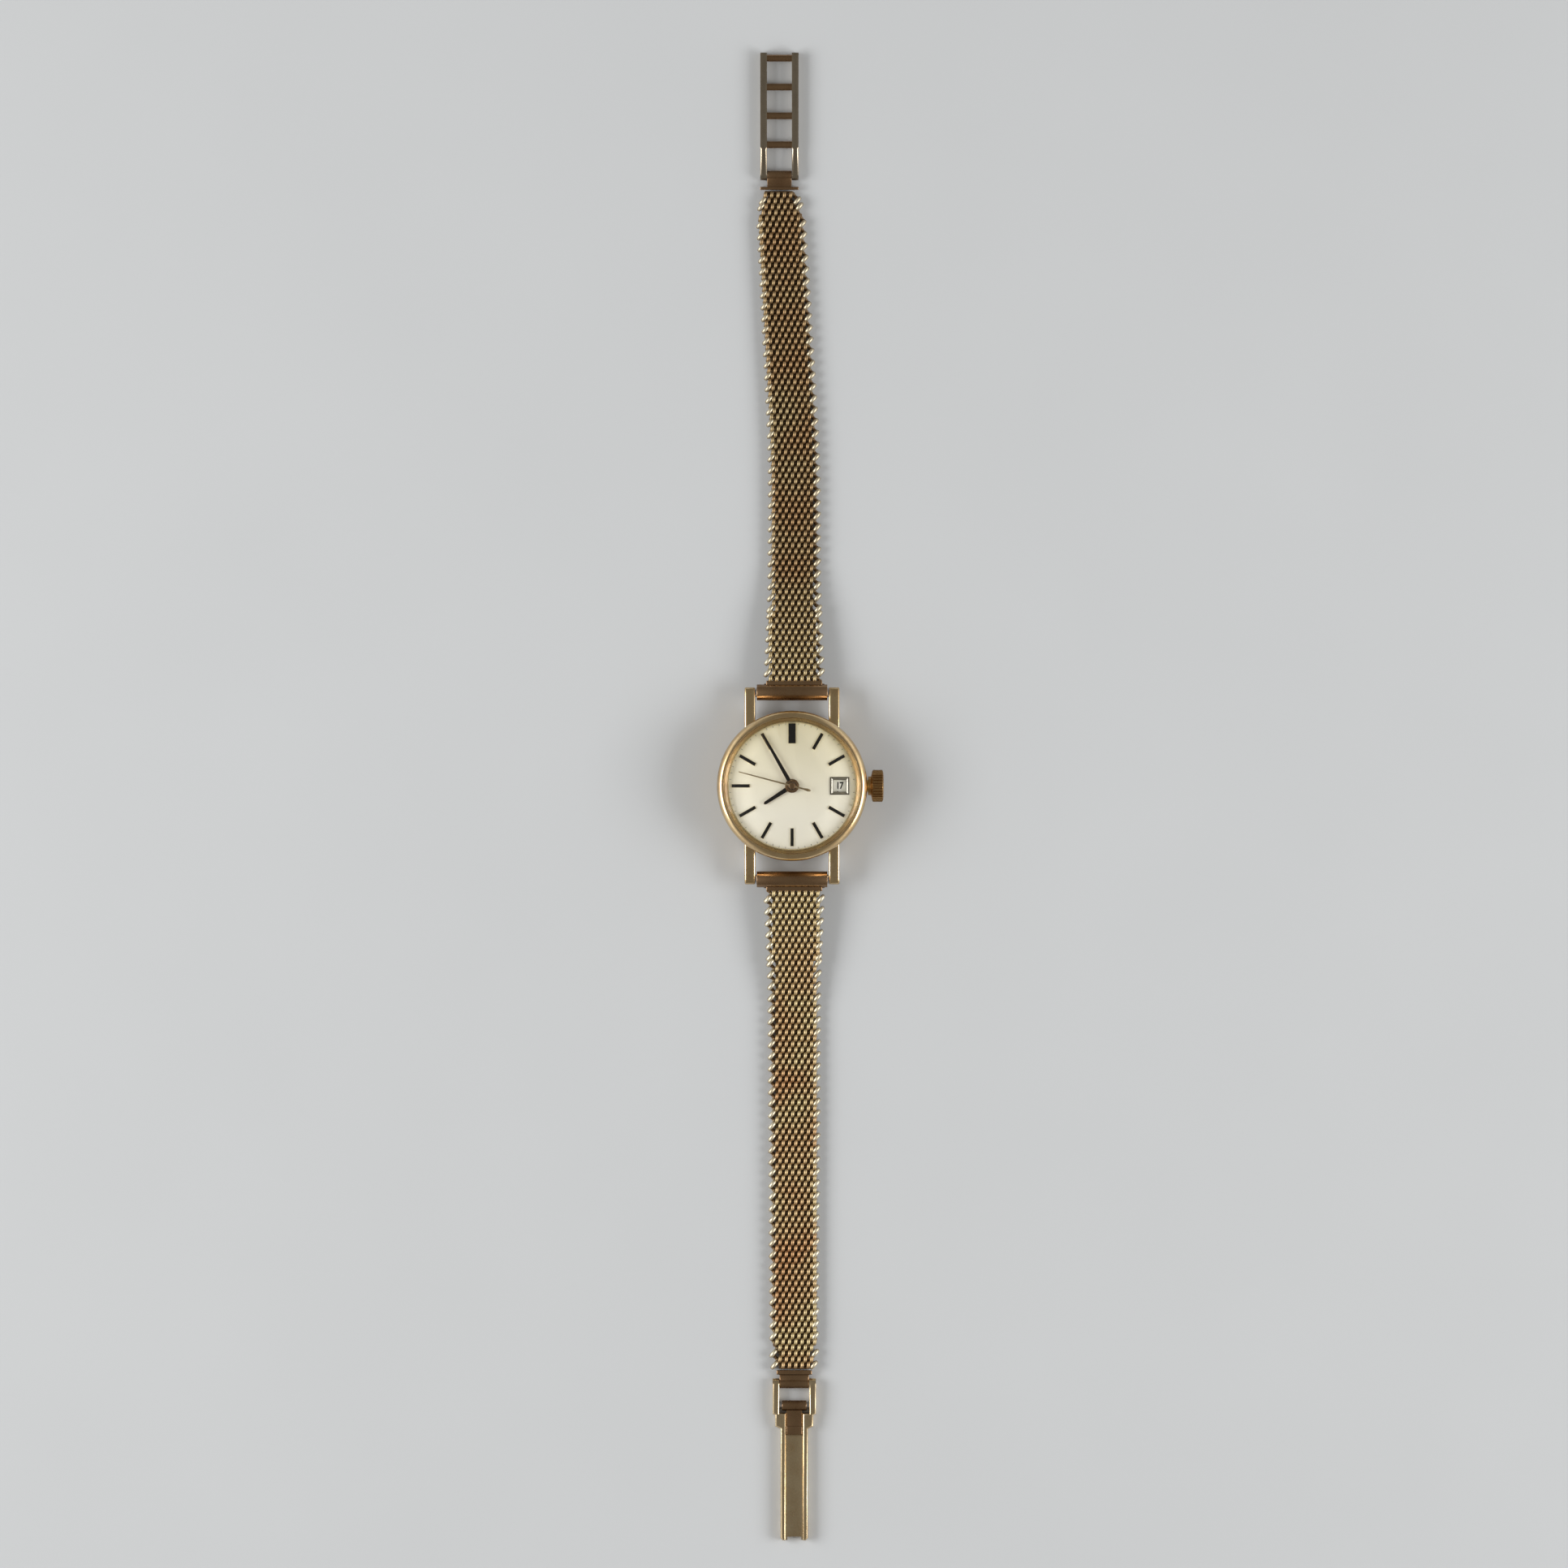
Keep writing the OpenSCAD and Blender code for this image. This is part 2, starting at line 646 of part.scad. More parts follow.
module balance_cock() {
  foot = screw_places[5];
  reach = norm(foot - balance_at);
  turn = atan2(foot[1] - balance_at[1], foot[0] - balance_at[0]);
  color(STEEL) difference() {
    union() {
      translate([balance_at[0], balance_at[1], bridge_z]) rotate(turn)
        linear_extrude(bridge_t) union() {
          circle(r = 0.8, $fn = small_fn);
          translate([0, -0.6]) square([reach, 1.2]);
          translate([reach, 0]) circle(r = 0.85, $fn = small_fn);
        }
      translate([foot[0], foot[1], train_z - 0.1])
        cylinder(r = 0.8, h = plate_z - train_z + 0.09, $fn = small_fn);
    }
    translate([balance_at[0], balance_at[1], bridge_z + 0.3])
      cylinder(r = pivot_r + 0.03, h = 2, $fn = small_fn);
    screw_holes(0);
  }
}

module bridge_screws() {
  color([0.35, 0.4, 0.55]) for (i = [0:len(screw_places) - 1]) {
    z0 = screw_on_barrel[i] ? barrel_bridge_z : bridge_z;
    translate([screw_places[i][0], screw_places[i][1], z0 + 0.02]) difference() {
      union() {
        cylinder(r = 0.4, h = 0.22, $fn = small_fn);
        cylinder(r = 0.18, h = plate_top - z0 - 0.1, $fn = small_fn);
      }
      translate([-0.5, -0.06, -eps]) cube([1, 0.12, 0.1]);
    }
  }
}

// Going train
module mainspring_barrel() {
  drum_z = dial_z - 1.85;
  color(BRASS) translate([barrel_at[0], barrel_at[1], drum_z]) difference() {
    union() {
      wheel(72, 3.6, 0.2, 0, turn = mesh_turn(12, 0, 72, barrel_angle));
      cylinder(r = barrel_drum_r, h = 0.95, $fn = round_fn);
    }
    translate([0, 0, 0.2]) cylinder(r = barrel_drum_r - 0.22, h = 2, $fn = round_fn);
    translate([0, 0, -1]) cylinder(r = 0.35 + run, h = 3, $fn = small_fn);
  }
}

module mainspring() {
  color(STEEL) translate([barrel_at[0], barrel_at[1], dial_z - 1.6])
    linear_extrude(0.6) spiral(0.75, barrel_drum_r - 0.32, 7, 0.12, 20);
}

module barrel_arbor() {
  color(STEEL) translate([barrel_at[0], barrel_at[1], 0]) union() {
    translate([0, 0, ratchet_z - 0.1])
      cylinder(r = 0.35, h = dial_z - 1.6 - ratchet_z + 0.1, $fn = small_fn);
    translate([0, 0, dial_z - 1.62]) cylinder(r = 0.62, h = 0.62, $fn = small_fn);
    translate([0, 0, dial_z - 1.01]) cylinder(r = 0.2, h = 0.4, $fn = small_fn);
  }
}

module ratchet_wheel() {
  way = atan2(barrel_at[1] - crown_wheel_at[1], barrel_at[0] - crown_wheel_at[0]);
  color(STEEL) translate([barrel_at[0], barrel_at[1], ratchet_z])
    wheel(39, 2.568, wind_t, 0.35 + fit, turn = mesh_turn(22, 0, 39, way));
}

module crown_wheel() {
  color(STEEL) translate([crown_wheel_at[0], crown_wheel_at[1], ratchet_z])
    wheel(22, 1.449, wind_t, 0.5 + run);
}

module winding_pinion() {
  color(STEEL) translate([6.15 * works_size, 0, stem_z]) rotate([0, 90, 0])
    wheel(12, 0.785, 0.9 * works_size, stem_d / 2 + run);
}

module centre_wheel() {
  tube_top = hour_z + 0.1;
  wheel_z = dial_z - 2.05;
  color(BRASS) difference() {
    union() {
      translate([0, 0, wheel_z]) wheel(80, 3.2, 0.12, 0, 5);
      translate([0, 0, wheel_z + 0.15]) wheel(12, 0.6, 0.45, 0);
      translate([0, 0, wheel_z]) cylinder(r = cannon_bore - 0.02, h = tube_top - wheel_z, $fn = small_fn);
    }
    translate([0, 0, wheel_z - 1]) cylinder(r = seconds_arbor + run, h = 6, $fn = small_fn);
  }
}

module third_wheel() {
  color(BRASS) translate([third_at[0], third_at[1], 0]) union() {
    translate([0, 0, dial_z - 2.3]) wheel(75, 3.176, 0.12, 0, 5);
    translate([0, 0, dial_z - 2.12])
      wheel(10, 0.4, 0.3, 0, turn = mesh_turn(80, 0, 10, third_angle));
    translate([0, 0, train_z - 0.2])
      cylinder(r = pivot_r, h = plate_z - train_z + 0.5, $fn = small_fn);
  }
}

module fourth_wheel() {
  color(BRASS) union() {
    translate([0, 0, dial_z - 2.54]) wheel(80, 3.18, 0.11, 0, 5);
    translate([0, 0, dial_z - 2.45])
      wheel(10, 0.4235, 0.36, 0, turn = mesh_turn(75, 0, 10, third_angle + 180));
    translate([0, 0, train_z - 0.3])
      cylinder(r = seconds_arbor, h = seconds_z - train_z + 0.36, $fn = small_fn);
  }
}

module escape_wheel() {
  color(STEEL) translate([escape_at[0], escape_at[1], 0]) union() {
    translate([0, 0, dial_z - 1.88]) linear_extrude(0.12) difference() {
      polygon([for (i = [0:14]) for (p = [[0, 1.15], [8, 1.5], [10, 1.5], [11, 1.15]])
        let (a = i * 24 + p[0]) [p[1] * cos(a), p[1] * sin(a)]]);
      difference() {
        circle(r = 0.95, $fn = small_fn);
        circle(r = 0.3, $fn = small_fn);
        for (i = [0:3]) rotate(i * 90) translate([0, -0.07]) square([1.1, 0.14]);
      }
    }
    translate([0, 0, train_z + 0.05])
      wheel(8, 0.318, 0.22, 0, turn = mesh_turn(80, 0, 8, escape_angle));
    translate([0, 0, train_z - 0.2])
      cylinder(r = pivot_r, h = plate_z - train_z + 0.5, $fn = small_fn);
  }
}

module pallet_fork() {
  reach = norm(balance_at - fork_at);
  turn = atan2(balance_at[1] - fork_at[1], balance_at[0] - fork_at[0]);
  color(STEEL) translate([fork_at[0], fork_at[1], 0]) rotate(turn) union() {
    translate([0, 0, dial_z - 1.88]) linear_extrude(0.16) union() {
      circle(r = 0.22, $fn = small_fn);
      translate([0, -0.07]) square([reach - 0.5, 0.14]);
      translate([reach - 0.55, -0.2]) square([0.12, 0.4]);
      translate([reach - 0.5, -0.2]) square([0.22, 0.1]);
      translate([reach - 0.5, 0.1]) square([0.22, 0.1]);
      translate([-0.1, -0.85]) square([0.18, 1.7]);
      for (s = [-1, 1]) translate([-0.6, s * 0.8 - 0.06]) square([0.6, 0.12]);
    }
    translate([0, 0, dial_z - 1.95]) cylinder(r = fork_pin, h = 0.88, $fn = small_fn);
  }
}

module balance_wheel() {
  rim_z0 = dial_z - 2.35;
  color(BRASS) translate([balance_at[0], balance_at[1], 0]) union() {
    translate([0, 0, rim_z0]) linear_extrude(0.28) union() {
      difference() {
        circle(r = balance_r, $fn = round_fn);
        circle(r = balance_r - 0.28, $fn = round_fn);
      }
      translate([-balance_r + 0.1, -0.12]) square([2 * balance_r - 0.2, 0.24]);
      circle(r = 0.3, $fn = small_fn);
    }
    translate([0, 0, dial_z - 1.9]) cylinder(r = 0.34, h = 0.08, $fn = small_fn);
    translate([0, 0, train_z + 0.06]) cylinder(r = 0.28, h = 0.2, $fn = small_fn);
    translate([0, 0, train_z - 0.2])
      cylinder(r = pivot_r, h = plate_z - train_z + 0.5, $fn = small_fn);
  }
}

module hairspring() {
  color([0.3, 0.35, 0.6]) translate([balance_at[0], balance_at[1], 0]) union() {
    translate([0, 0, train_z + 0.08]) linear_extrude(0.12) spiral(0.36, 1.5, 8, 0.05, 20);
    translate([1.5, 0, train_z + seat]) cylinder(r = 0.1, h = 0.18, $fn = small_fn);
  }
}

module rotor() {
  weight_in = 6.2;
  weight_out = works_r - 0.22;
  color(BRASS) translate([0, 0, rotor_z]) difference() {
    union() {
      intersection() {
        tube_between(weight_in, weight_out, 0, rotor_h);
        translate([-10, -20, -1]) cube([20, 20, 5]);
      }
      intersection() {
        cylinder(r = weight_out, h = 0.25, $fn = round_fn);
        translate([-10, -20, -1]) cube([20, 20, 5]);
      }
      cylinder(r = 1.3, h = rotor_h - 0.15, $fn = small_fn);
    }
    translate([0, 0, -1]) cylinder(r = 0.5 + run, h = 4, $fn = small_fn);
    for (a = [-150, -120, -90, -60, -30])
      rotate(a) translate([3.9, 0, -1]) cylinder(r = 0.75, h = 3, $fn = small_fn);
  }
}

// Band ends at the case
module spring_bar(side) {
  color(STEEL) translate([0, side * bar_out, bar_z]) union() {
    rod_x(bar_d / 2, lug_gap - 2 * side_play);
    rod_x(bar_tip_r, lug_gap + 2 * bar_tip_l);
    for (x = [-1, 1]) translate([x * (lug_gap / 2 - 0.62), 0, 0]) rod_x(bar_d / 2 + 0.02, 0.12);
  }
}

module end_tube(side) {
  tube_l = lug_gap - 0.4;
  color(GOLD) translate([0, side * bar_out, bar_z]) rotate([side > 0 ? -slope(side) : slope(side), 0, 0])
    difference() {
      union() {
        rod_x(tube_r, tube_l);
        translate([mesh_shift - mesh_w / 2 + 0.2, side > 0 ? 0 : -tube_r - tongue_l + fit, -0.28])
          cube([mesh_w - 0.4, tube_r + tongue_l - fit, 0.56]);
      }
      rod_x(bar_d / 2 + side_play, tube_l + 1);
    }
}

// One row of the mesh, thinner beside a hinge so that the two rows turn freely
module mesh_row(side, i) {
  r = by_hinge(side, i) ? hinge_row_r : row_r;
  half = row_w(side, i) / 2;
  y = row_out(side, i);
  translate([lean(side, y), side * y, row_z(side, i)])
    rotate([0, 90, 0]) rotate_extrude($fn = small_fn) polygon([
      [0, -half], [r * 0.6, -half], [r, -half + 0.24], [r, half - 0.24], [r * 0.6, half],
      [0, half]
    ]);
}

module mesh_section(side, k) {
  first = k == 1 ? 0 : section_end(side, k - 1) + 1;
  color(GOLD) for (i = [first:section_end(side, k)]) mesh_row(side, i);
}

// Ladder end of the upper band, in a frame with its origin at the middle of the mesh end
module at_ladder() {
  translate([lean(1, mesh_end_y), mesh_end_y, 0]) children();
}

ladder_in = ladder_w / 2 - rail_w;
ladder_l = 0.75 + 4.15 + (rungs - 1) * rung_pitch + 0.7;

module ladder_end_plate() {
  half = ladder_in - side_play;
  color(GOLD) at_ladder() difference() {
    union() {
      translate([-ladder_w / 2, 0, mesh_t / 2 - 0.5]) cube([ladder_w, 0.4, 1]);
      translate([-half, 0.3, mesh_t / 2 - 0.4]) cube([2 * half, ladder_pin_out - 0.3, 0.8]);
      translate([0, ladder_pin_out, ladder_pin_z]) rod_x(0.62, 2 * half);
    }
    translate([0, ladder_pin_out, ladder_pin_z]) rod_x(pin_r + fit, ladder_w);
  }
}

module ladder_pin() {
  color(STEEL) at_ladder() translate([0, ladder_pin_out, ladder_pin_z])
    rod_x(pin_r, ladder_w - 0.1);
}

module ladder_rails() {
  color(GOLD) at_ladder() translate([0, ladder_pin_out, ladder_pin_z]) for (x = [-1, 1])
    difference() {
      translate([x * (ladder_w - rail_w) / 2, 0, 0]) union() {
        rod_x(rail_h / 2, rail_w);
        translate([-rail_w / 2, 0, -rail_h / 2]) cube([rail_w, ladder_l - 0.75, rail_h]);
      }
      rod_x(pin_r + run, ladder_w + 1);
      for (i = [0:rungs - 1])
        translate([0, 4.15 + i * rung_pitch, 0]) rod_x(rung_d / 2 + fit, ladder_w - 0.3);
    }
}

module ladder_rungs() {
  color(GOLD) at_ladder() for (i = [0:rungs - 1])
    translate([0, ladder_pin_out + 4.15 + i * rung_pitch, ladder_pin_z])
      rod_x(rung_d / 2, ladder_w - 0.4);
}

// Clasp end of the lower band, in a frame that runs outwards along +Y from the mesh end
module at_clasp() {
  translate([lean(-1, mesh_end_low), -mesh_end_low, 0]) rotate([0, 0, 180]) children();
}

yoke_in = yoke_w / 2 - yoke_arm;

module clasp_end_plate() {
  half = yoke_in - side_play;
  color(GOLD) at_clasp() difference() {
    union() {
      translate([-2.4, 0, mesh_t / 2 - 0.5]) cube([4.8, 0.6, 1]);
      translate([-half, 0.5, mesh_t / 2 - 0.4]) cube([2 * half, lever_pin_out - 0.5, 0.8]);
      translate([0, lever_pin_out, lever_pin_z]) rod_x(0.62, 2 * half);
    }
    translate([0, lever_pin_out, lever_pin_z]) rod_x(pin_r + fit, yoke_w);
  }
}

module lever_pin() {
  color(STEEL) at_clasp() translate([0, lever_pin_out, lever_pin_z])
    rod_x(pin_r, yoke_w - 0.1);
}

fork_l = 4.1;
shoulder_l = 2.0;
channel_floor = 0.42;
rim_w = 0.72;

module lever_outline() {
  polygon([
    [-yoke_w / 2, 0], [-yoke_w / 2, fork_l], [-yoke_w / 2 + 0.35, fork_l + 0.15],
    [-yoke_w / 2 + 0.35, fork_l + shoulder_l - 0.3], [-lever_w / 2, fork_l + shoulder_l],
    [-lever_w / 2, lever_l - 0.35], [-lever_w / 2 + 0.3, lever_l], [lever_w / 2 - 0.3, lever_l],
    [lever_w / 2, lever_l - 0.35], [lever_w / 2, fork_l + shoulder_l],
    [yoke_w / 2 - 0.35, fork_l + shoulder_l - 0.3], [yoke_w / 2 - 0.35, fork_l + 0.15],
    [yoke_w / 2, fork_l], [yoke_w / 2, 0]
  ]);
}

module clasp_lever() {
  channel = lever_w / 2 - rim_w;
  color(GOLD) at_clasp() translate([0, lever_pin_out, lever_pin_z]) difference() {
    union() {
      translate([0, 0, -lever_h / 2]) linear_extrude(lever_h) lever_outline();
      for (x = [-1, 1]) translate([x * (yoke_w - yoke_arm) / 2, 0, 0]) rod_x(lever_h / 2, yoke_arm);
    }
    translate([-yoke_in, -1, -lever_h]) cube([2 * yoke_in, fork_l + 0.9, 2 * lever_h]);
    translate([-channel, 0, -lever_h / 2 + channel_floor])
      cube([2 * channel, lever_l + 1, lever_h]);
    translate([-channel + 0.2, lever_l - 0.45, -lever_h]) cube([2 * channel - 0.4, 1, 2 * lever_h]);
    rod_x(pin_r + run, yoke_w + 1);
    translate([0, hook_out, hook_pin_z - lever_pin_z]) rod_x(pin_r + fit, yoke_w - 0.6);
  }
}

module hook_pin() {
  color(STEEL) at_clasp() translate([0, lever_pin_out + hook_out, hook_pin_z])
    rod_x(pin_r, yoke_w - 0.7);
}

hook_l = 3.9;
hook_w = lever_w - 2 * rim_w - 0.2;
hook_barrel_r = 0.7;

module rung_hook() {
  half = hook_w / 2;
  base = hook_barrel_r * 0.25;
  color(GOLD) at_clasp() translate([0, lever_pin_out + hook_out, hook_pin_z]) difference() {
    union() {
      rod_x(hook_barrel_r, 3.3);
      translate([-half, 0, -base]) cube([2 * half, hook_l, 0.4]);
      translate([-half, hook_l - 0.5, -base]) cube([2 * half, 0.5, 0.75]);
      translate([-half, hook_l - 1.1, -base + 0.5]) cube([2 * half, 0.7, 0.25]);
    }
    rod_x(pin_r + run, 5);
  }
}

case_middle();
bezel();
crystal();
tension_ring();
case_back();
case_back_gasket();
movement_ring();
crown_tube();
crown();
winding_stem();
dial();
hour_markers();
date_window_frame();
sized() date_ring();
sized() hour_hand();
sized() minute_hand();
sized() seconds_hand();
sized() hour_wheel();
sized() cannon_pinion();
sized() minute_wheel();
sized() main_plate();
sized() barrel_bridge();
sized() train_bridge();
sized() balance_cock();
sized() mainspring_barrel();
sized() mainspring();
sized() barrel_arbor();
sized() ratchet_wheel();
sized() crown_wheel();
winding_pinion();
sized() centre_wheel();
sized() third_wheel();
sized() fourth_wheel();
sized() escape_wheel();
sized() pallet_fork();
sized() balance_wheel();
sized() hairspring();
sized() rotor();
sized() bridge_screws();
spring_bar(1);  // upper_spring_bar
spring_bar(-1);  // lower_spring_bar
end_tube(1);  // upper_end_tube
end_tube(-1);  // lower_end_tube
mesh_section(1, 1);  // upper_mesh_1
mesh_section(1, 2);  // upper_mesh_2
mesh_section(1, 3);  // upper_mesh_3
mesh_section(1, 4);  // upper_mesh_4
mesh_section(-1, 1);  // lower_mesh_1
mesh_section(-1, 2);  // lower_mesh_2
mesh_section(-1, 3);  // lower_mesh_3
mesh_section(-1, 4);  // lower_mesh_4
ladder_end_plate();
ladder_pin();
ladder_rails();
ladder_rungs();
clasp_end_plate();
lever_pin();
clasp_lever();
hook_pin();
rung_hook();
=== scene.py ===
"""Looks of a small round wristwatch on a woven mesh band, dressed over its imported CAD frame.

Sizes inside the classes are in millimetres and are brought to metres when a mesh is made. The
frame has its origin on the flat of the case back, +Z out of the dial, +Y to twelve o'clock and
+X to the crown.
"""

import json
import logging
import math
from collections.abc import Iterable, Sequence
from dataclasses import dataclass, field
from enum import Enum

import bmesh
import bpy
from mathutils import Euler, Matrix, Vector

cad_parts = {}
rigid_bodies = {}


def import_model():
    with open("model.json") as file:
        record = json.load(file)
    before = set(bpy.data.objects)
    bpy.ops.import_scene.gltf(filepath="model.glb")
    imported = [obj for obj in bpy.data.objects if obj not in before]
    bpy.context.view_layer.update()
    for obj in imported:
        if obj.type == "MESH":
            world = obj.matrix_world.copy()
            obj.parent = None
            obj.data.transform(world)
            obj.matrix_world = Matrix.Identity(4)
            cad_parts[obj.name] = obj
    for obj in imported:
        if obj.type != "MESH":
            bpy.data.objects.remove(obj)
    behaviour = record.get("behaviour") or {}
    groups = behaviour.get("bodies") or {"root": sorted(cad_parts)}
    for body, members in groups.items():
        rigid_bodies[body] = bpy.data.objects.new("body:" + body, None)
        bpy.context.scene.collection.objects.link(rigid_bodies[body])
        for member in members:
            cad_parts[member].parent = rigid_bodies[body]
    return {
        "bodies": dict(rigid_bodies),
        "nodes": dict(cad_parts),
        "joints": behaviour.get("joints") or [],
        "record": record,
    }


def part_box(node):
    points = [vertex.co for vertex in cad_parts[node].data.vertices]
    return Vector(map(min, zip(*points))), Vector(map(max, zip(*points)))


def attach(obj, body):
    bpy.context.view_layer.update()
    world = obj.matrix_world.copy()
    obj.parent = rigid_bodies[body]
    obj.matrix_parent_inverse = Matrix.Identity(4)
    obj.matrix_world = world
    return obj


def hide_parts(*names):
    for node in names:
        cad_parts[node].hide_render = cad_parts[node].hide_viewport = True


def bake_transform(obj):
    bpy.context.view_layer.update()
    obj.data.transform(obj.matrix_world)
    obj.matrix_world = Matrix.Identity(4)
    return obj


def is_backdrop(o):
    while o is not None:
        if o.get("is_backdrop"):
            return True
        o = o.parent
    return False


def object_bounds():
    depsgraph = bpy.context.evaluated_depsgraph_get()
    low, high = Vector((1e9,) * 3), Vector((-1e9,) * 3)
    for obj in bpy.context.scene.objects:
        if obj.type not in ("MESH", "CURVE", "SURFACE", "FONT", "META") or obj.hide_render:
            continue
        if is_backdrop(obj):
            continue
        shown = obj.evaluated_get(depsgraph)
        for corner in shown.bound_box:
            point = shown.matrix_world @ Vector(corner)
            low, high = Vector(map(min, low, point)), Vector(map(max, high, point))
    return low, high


MM = 0.001  # metres
NIL = 1e-6  # millimetres that count as nothing
QUARTER_TURN = math.pi / 2
FULL_TURN = 2 * math.pi
LOG = logging.getLogger("watch")

Point = tuple[float, float]
Triple = tuple[float, float, float]
Colour = Triple
Spots = list[tuple[Vector, Euler]]
Inputs = dict[str | int, object]


def srgb(*channels: int) -> Colour:
    """Turns a screen colour into the linear colour that a shader takes."""
    parts = [value / 255 for value in channels]
    return tuple(p / 12.92 if p <= 0.04045 else ((p + 0.055) / 1.055) ** 2.4 for p in parts)


# Node trees


class Wire:
    """A value in a node tree that adds a Math node each time it is calculated with."""

    def __init__(self, tree: "NodeTree", socket: bpy.types.NodeSocket) -> None:
        """Keeps the socket and the tree that it belongs to."""
        self.tree, self.socket = tree, socket

    def maths(self, operation: str, *others: "Wire | float") -> "Wire":
        """Adds one Math node."""
        values = dict(enumerate((self, *others)))
        return self.tree.add("ShaderNodeMath", values, operation=operation)

    def __add__(self, other: "Wire | float") -> "Wire":
        """Adds."""
        return self.maths("ADD", other)

    __radd__ = __add__

    def __sub__(self, other: "Wire | float") -> "Wire":
        """Takes another value from this one."""
        return self.maths("SUBTRACT", other)

    def __rsub__(self, other: float) -> "Wire":
        """Takes this value from a number."""
        return self.maths("MULTIPLY", -1.0) + other

    def __mul__(self, other: "Wire | float") -> "Wire":
        """Multiplies."""
        return self.maths("MULTIPLY", other)

    __rmul__ = __mul__

    def __truediv__(self, other: "Wire | float") -> "Wire":
        """Divides."""
        return self.maths("DIVIDE", other)

    def __pow__(self, other: "Wire | float") -> "Wire":
        """Raises to a power."""
        return self.maths("POWER", other)

    def __abs__(self) -> "Wire":
        """Drops the sign."""
        return self.maths("ABSOLUTE")

    def between(self, low: float, high: float) -> "Wire":
        """Stretches the part from low to high over 0 to 1 and clips the rest."""
        return self.tree.add("ShaderNodeMapRange", {0: self, 1: low, 2: high}, clamp=True)


class NodeTree:
    """A node tree that is drawn in the script."""

    def __init__(self, tree: bpy.types.NodeTree) -> None:
        """Keeps the tree that is drawn on."""
        self.tree = tree

    def node(self, kind: str, inputs: Inputs | None = None, **settings: object) -> bpy.types.Node:
        """Adds one node, with its settings first and then its inputs.

        Args:
            kind: The node's type.
            inputs: Values or wires for its sockets, by name or number.
            settings: Its settings.

        Returns:
            The node.
        """
        made = self.tree.nodes.new(kind)
        for key, value in settings.items():
            setattr(made, key, value)
        for key, value in (inputs or {}).items():
            if isinstance(value, Wire):
                self.tree.links.new(value.socket, made.inputs[key])
            else:
                made.inputs[key].default_value = value
        return made

    def add(
        self, kind: str, inputs: Inputs | None = None, output: str | int = 0, **settings: object
    ) -> Wire:
        """Adds one node and takes one of its outputs."""
        return Wire(self, self.node(kind, inputs, **settings).outputs[output])

    def split(self, vector: Wire) -> tuple[Wire, Wire, Wire]:
        """Splits a vector into its three parts."""
        parts = self.node("ShaderNodeSeparateXYZ", {0: vector})
        return tuple(Wire(self, output) for output in parts.outputs)


class Sheet(NodeTree):
    """The node tree of one material."""

    def __init__(self, name: str) -> None:
        """Starts a material with an empty node tree."""
        self.material = bpy.data.materials.new(name)
        self.material.use_nodes = True
        super().__init__(self.material.node_tree)
        self.tree.nodes.clear()

    def place(self) -> Wire:
        """Gives the piece's own coordinates, in metres."""
        return self.add("ShaderNodeTexCoord", output="Object")

    def noise(self, size: float, detail: float = 3.0, stretch: Triple = (1, 1, 1)) -> Wire:
        """Adds a noise.

        Args:
            size: The size of its blots in millimetres.
            detail: Its detail.
            stretch: How many times finer it is along each axis.

        Returns:
            The noise, from 0 to 1.
        """
        place = self.add("ShaderNodeMapping", {"Vector": self.place(), "Scale": stretch})
        values = {"Vector": place, "Scale": 1 / (size * MM), "Detail": detail}
        return self.add("ShaderNodeTexNoise", values, "Fac")

    def stripes(self, place: Wire, detail: float) -> Wire:
        """Adds a noise along one direction."""
        values = {"W": place, "Scale": 1.0, "Detail": detail}
        return self.add("ShaderNodeTexNoise", values, noise_dimensions="1D")

    def mix(self, share: Wire, low: Colour | Wire, high: Colour | Wire) -> Wire:
        """Mixes two colours."""
        tones = [tone if isinstance(tone, Wire) else (*tone, 1.0) for tone in (low, high)]
        return self.add(
            "ShaderNodeMix", {0: share, 6: tones[0], 7: tones[1]}, 2, data_type="RGBA"
        )

    def bump(self, height: Wire, depth: float) -> Wire:
        """Adds a bump."""
        return self.add(
            "ShaderNodeBump", {"Height": height, "Distance": depth * MM, "Strength": 1.0}
        )

    def surface(self, **inputs: object) -> Wire:
        """Adds the main shader, with sockets named in words joined by _."""
        named = {key.replace("_", " "): value for key, value in inputs.items()}
        return self.add("ShaderNodeBsdfPrincipled", named)


# Finishes


@dataclass(frozen=True)
class Finish:
    """A finish that makes its material once."""

    name: str

    def paint(self, sheet: Sheet) -> Wire:
        """Draws the finish and returns its shader."""
        raise NotImplementedError

    def material(self) -> bpy.types.Material:
        """Gives the material, made the first time that it is asked for."""
        found = bpy.data.materials.get(self.name)
        if found is not None:
            return found
        sheet = Sheet(self.name)
        sheet.node("ShaderNodeOutputMaterial", {"Surface": self.paint(sheet)})
        return sheet.material


@dataclass(frozen=True)
class PolishedMetal(Finish):
    """A plated or polished metal with fine hairlines and small dull patches."""

    colour: Colour
    worn: Colour
    gloss: float = 0.2
    dull: float = 0.36
    hairline: float = 0.0006
    worn_from: float = 0.42
    worn_at: float = 0.72

    def paint(self, sheet: Sheet) -> Wire:
        """Draws blots of wear, hairlines and a slightly uneven gloss."""
        clouds = sheet.noise(size=2.6, detail=4.0)
        specks = sheet.noise(size=0.22, detail=5.0)
        lines = sheet.noise(size=0.5, detail=6.0)
        wear = (clouds * 0.7 + specks * 0.3).between(self.worn_from, self.worn_at)
        return sheet.surface(
            Base_Color=sheet.mix(wear, self.colour, self.worn),
            Metallic=1.0,
            Roughness=self.gloss + (self.dull - self.gloss) * (wear * 0.7 + lines * 0.3),
            Normal=sheet.bump(lines * 0.7 + specks * 0.3, self.hairline),
        )


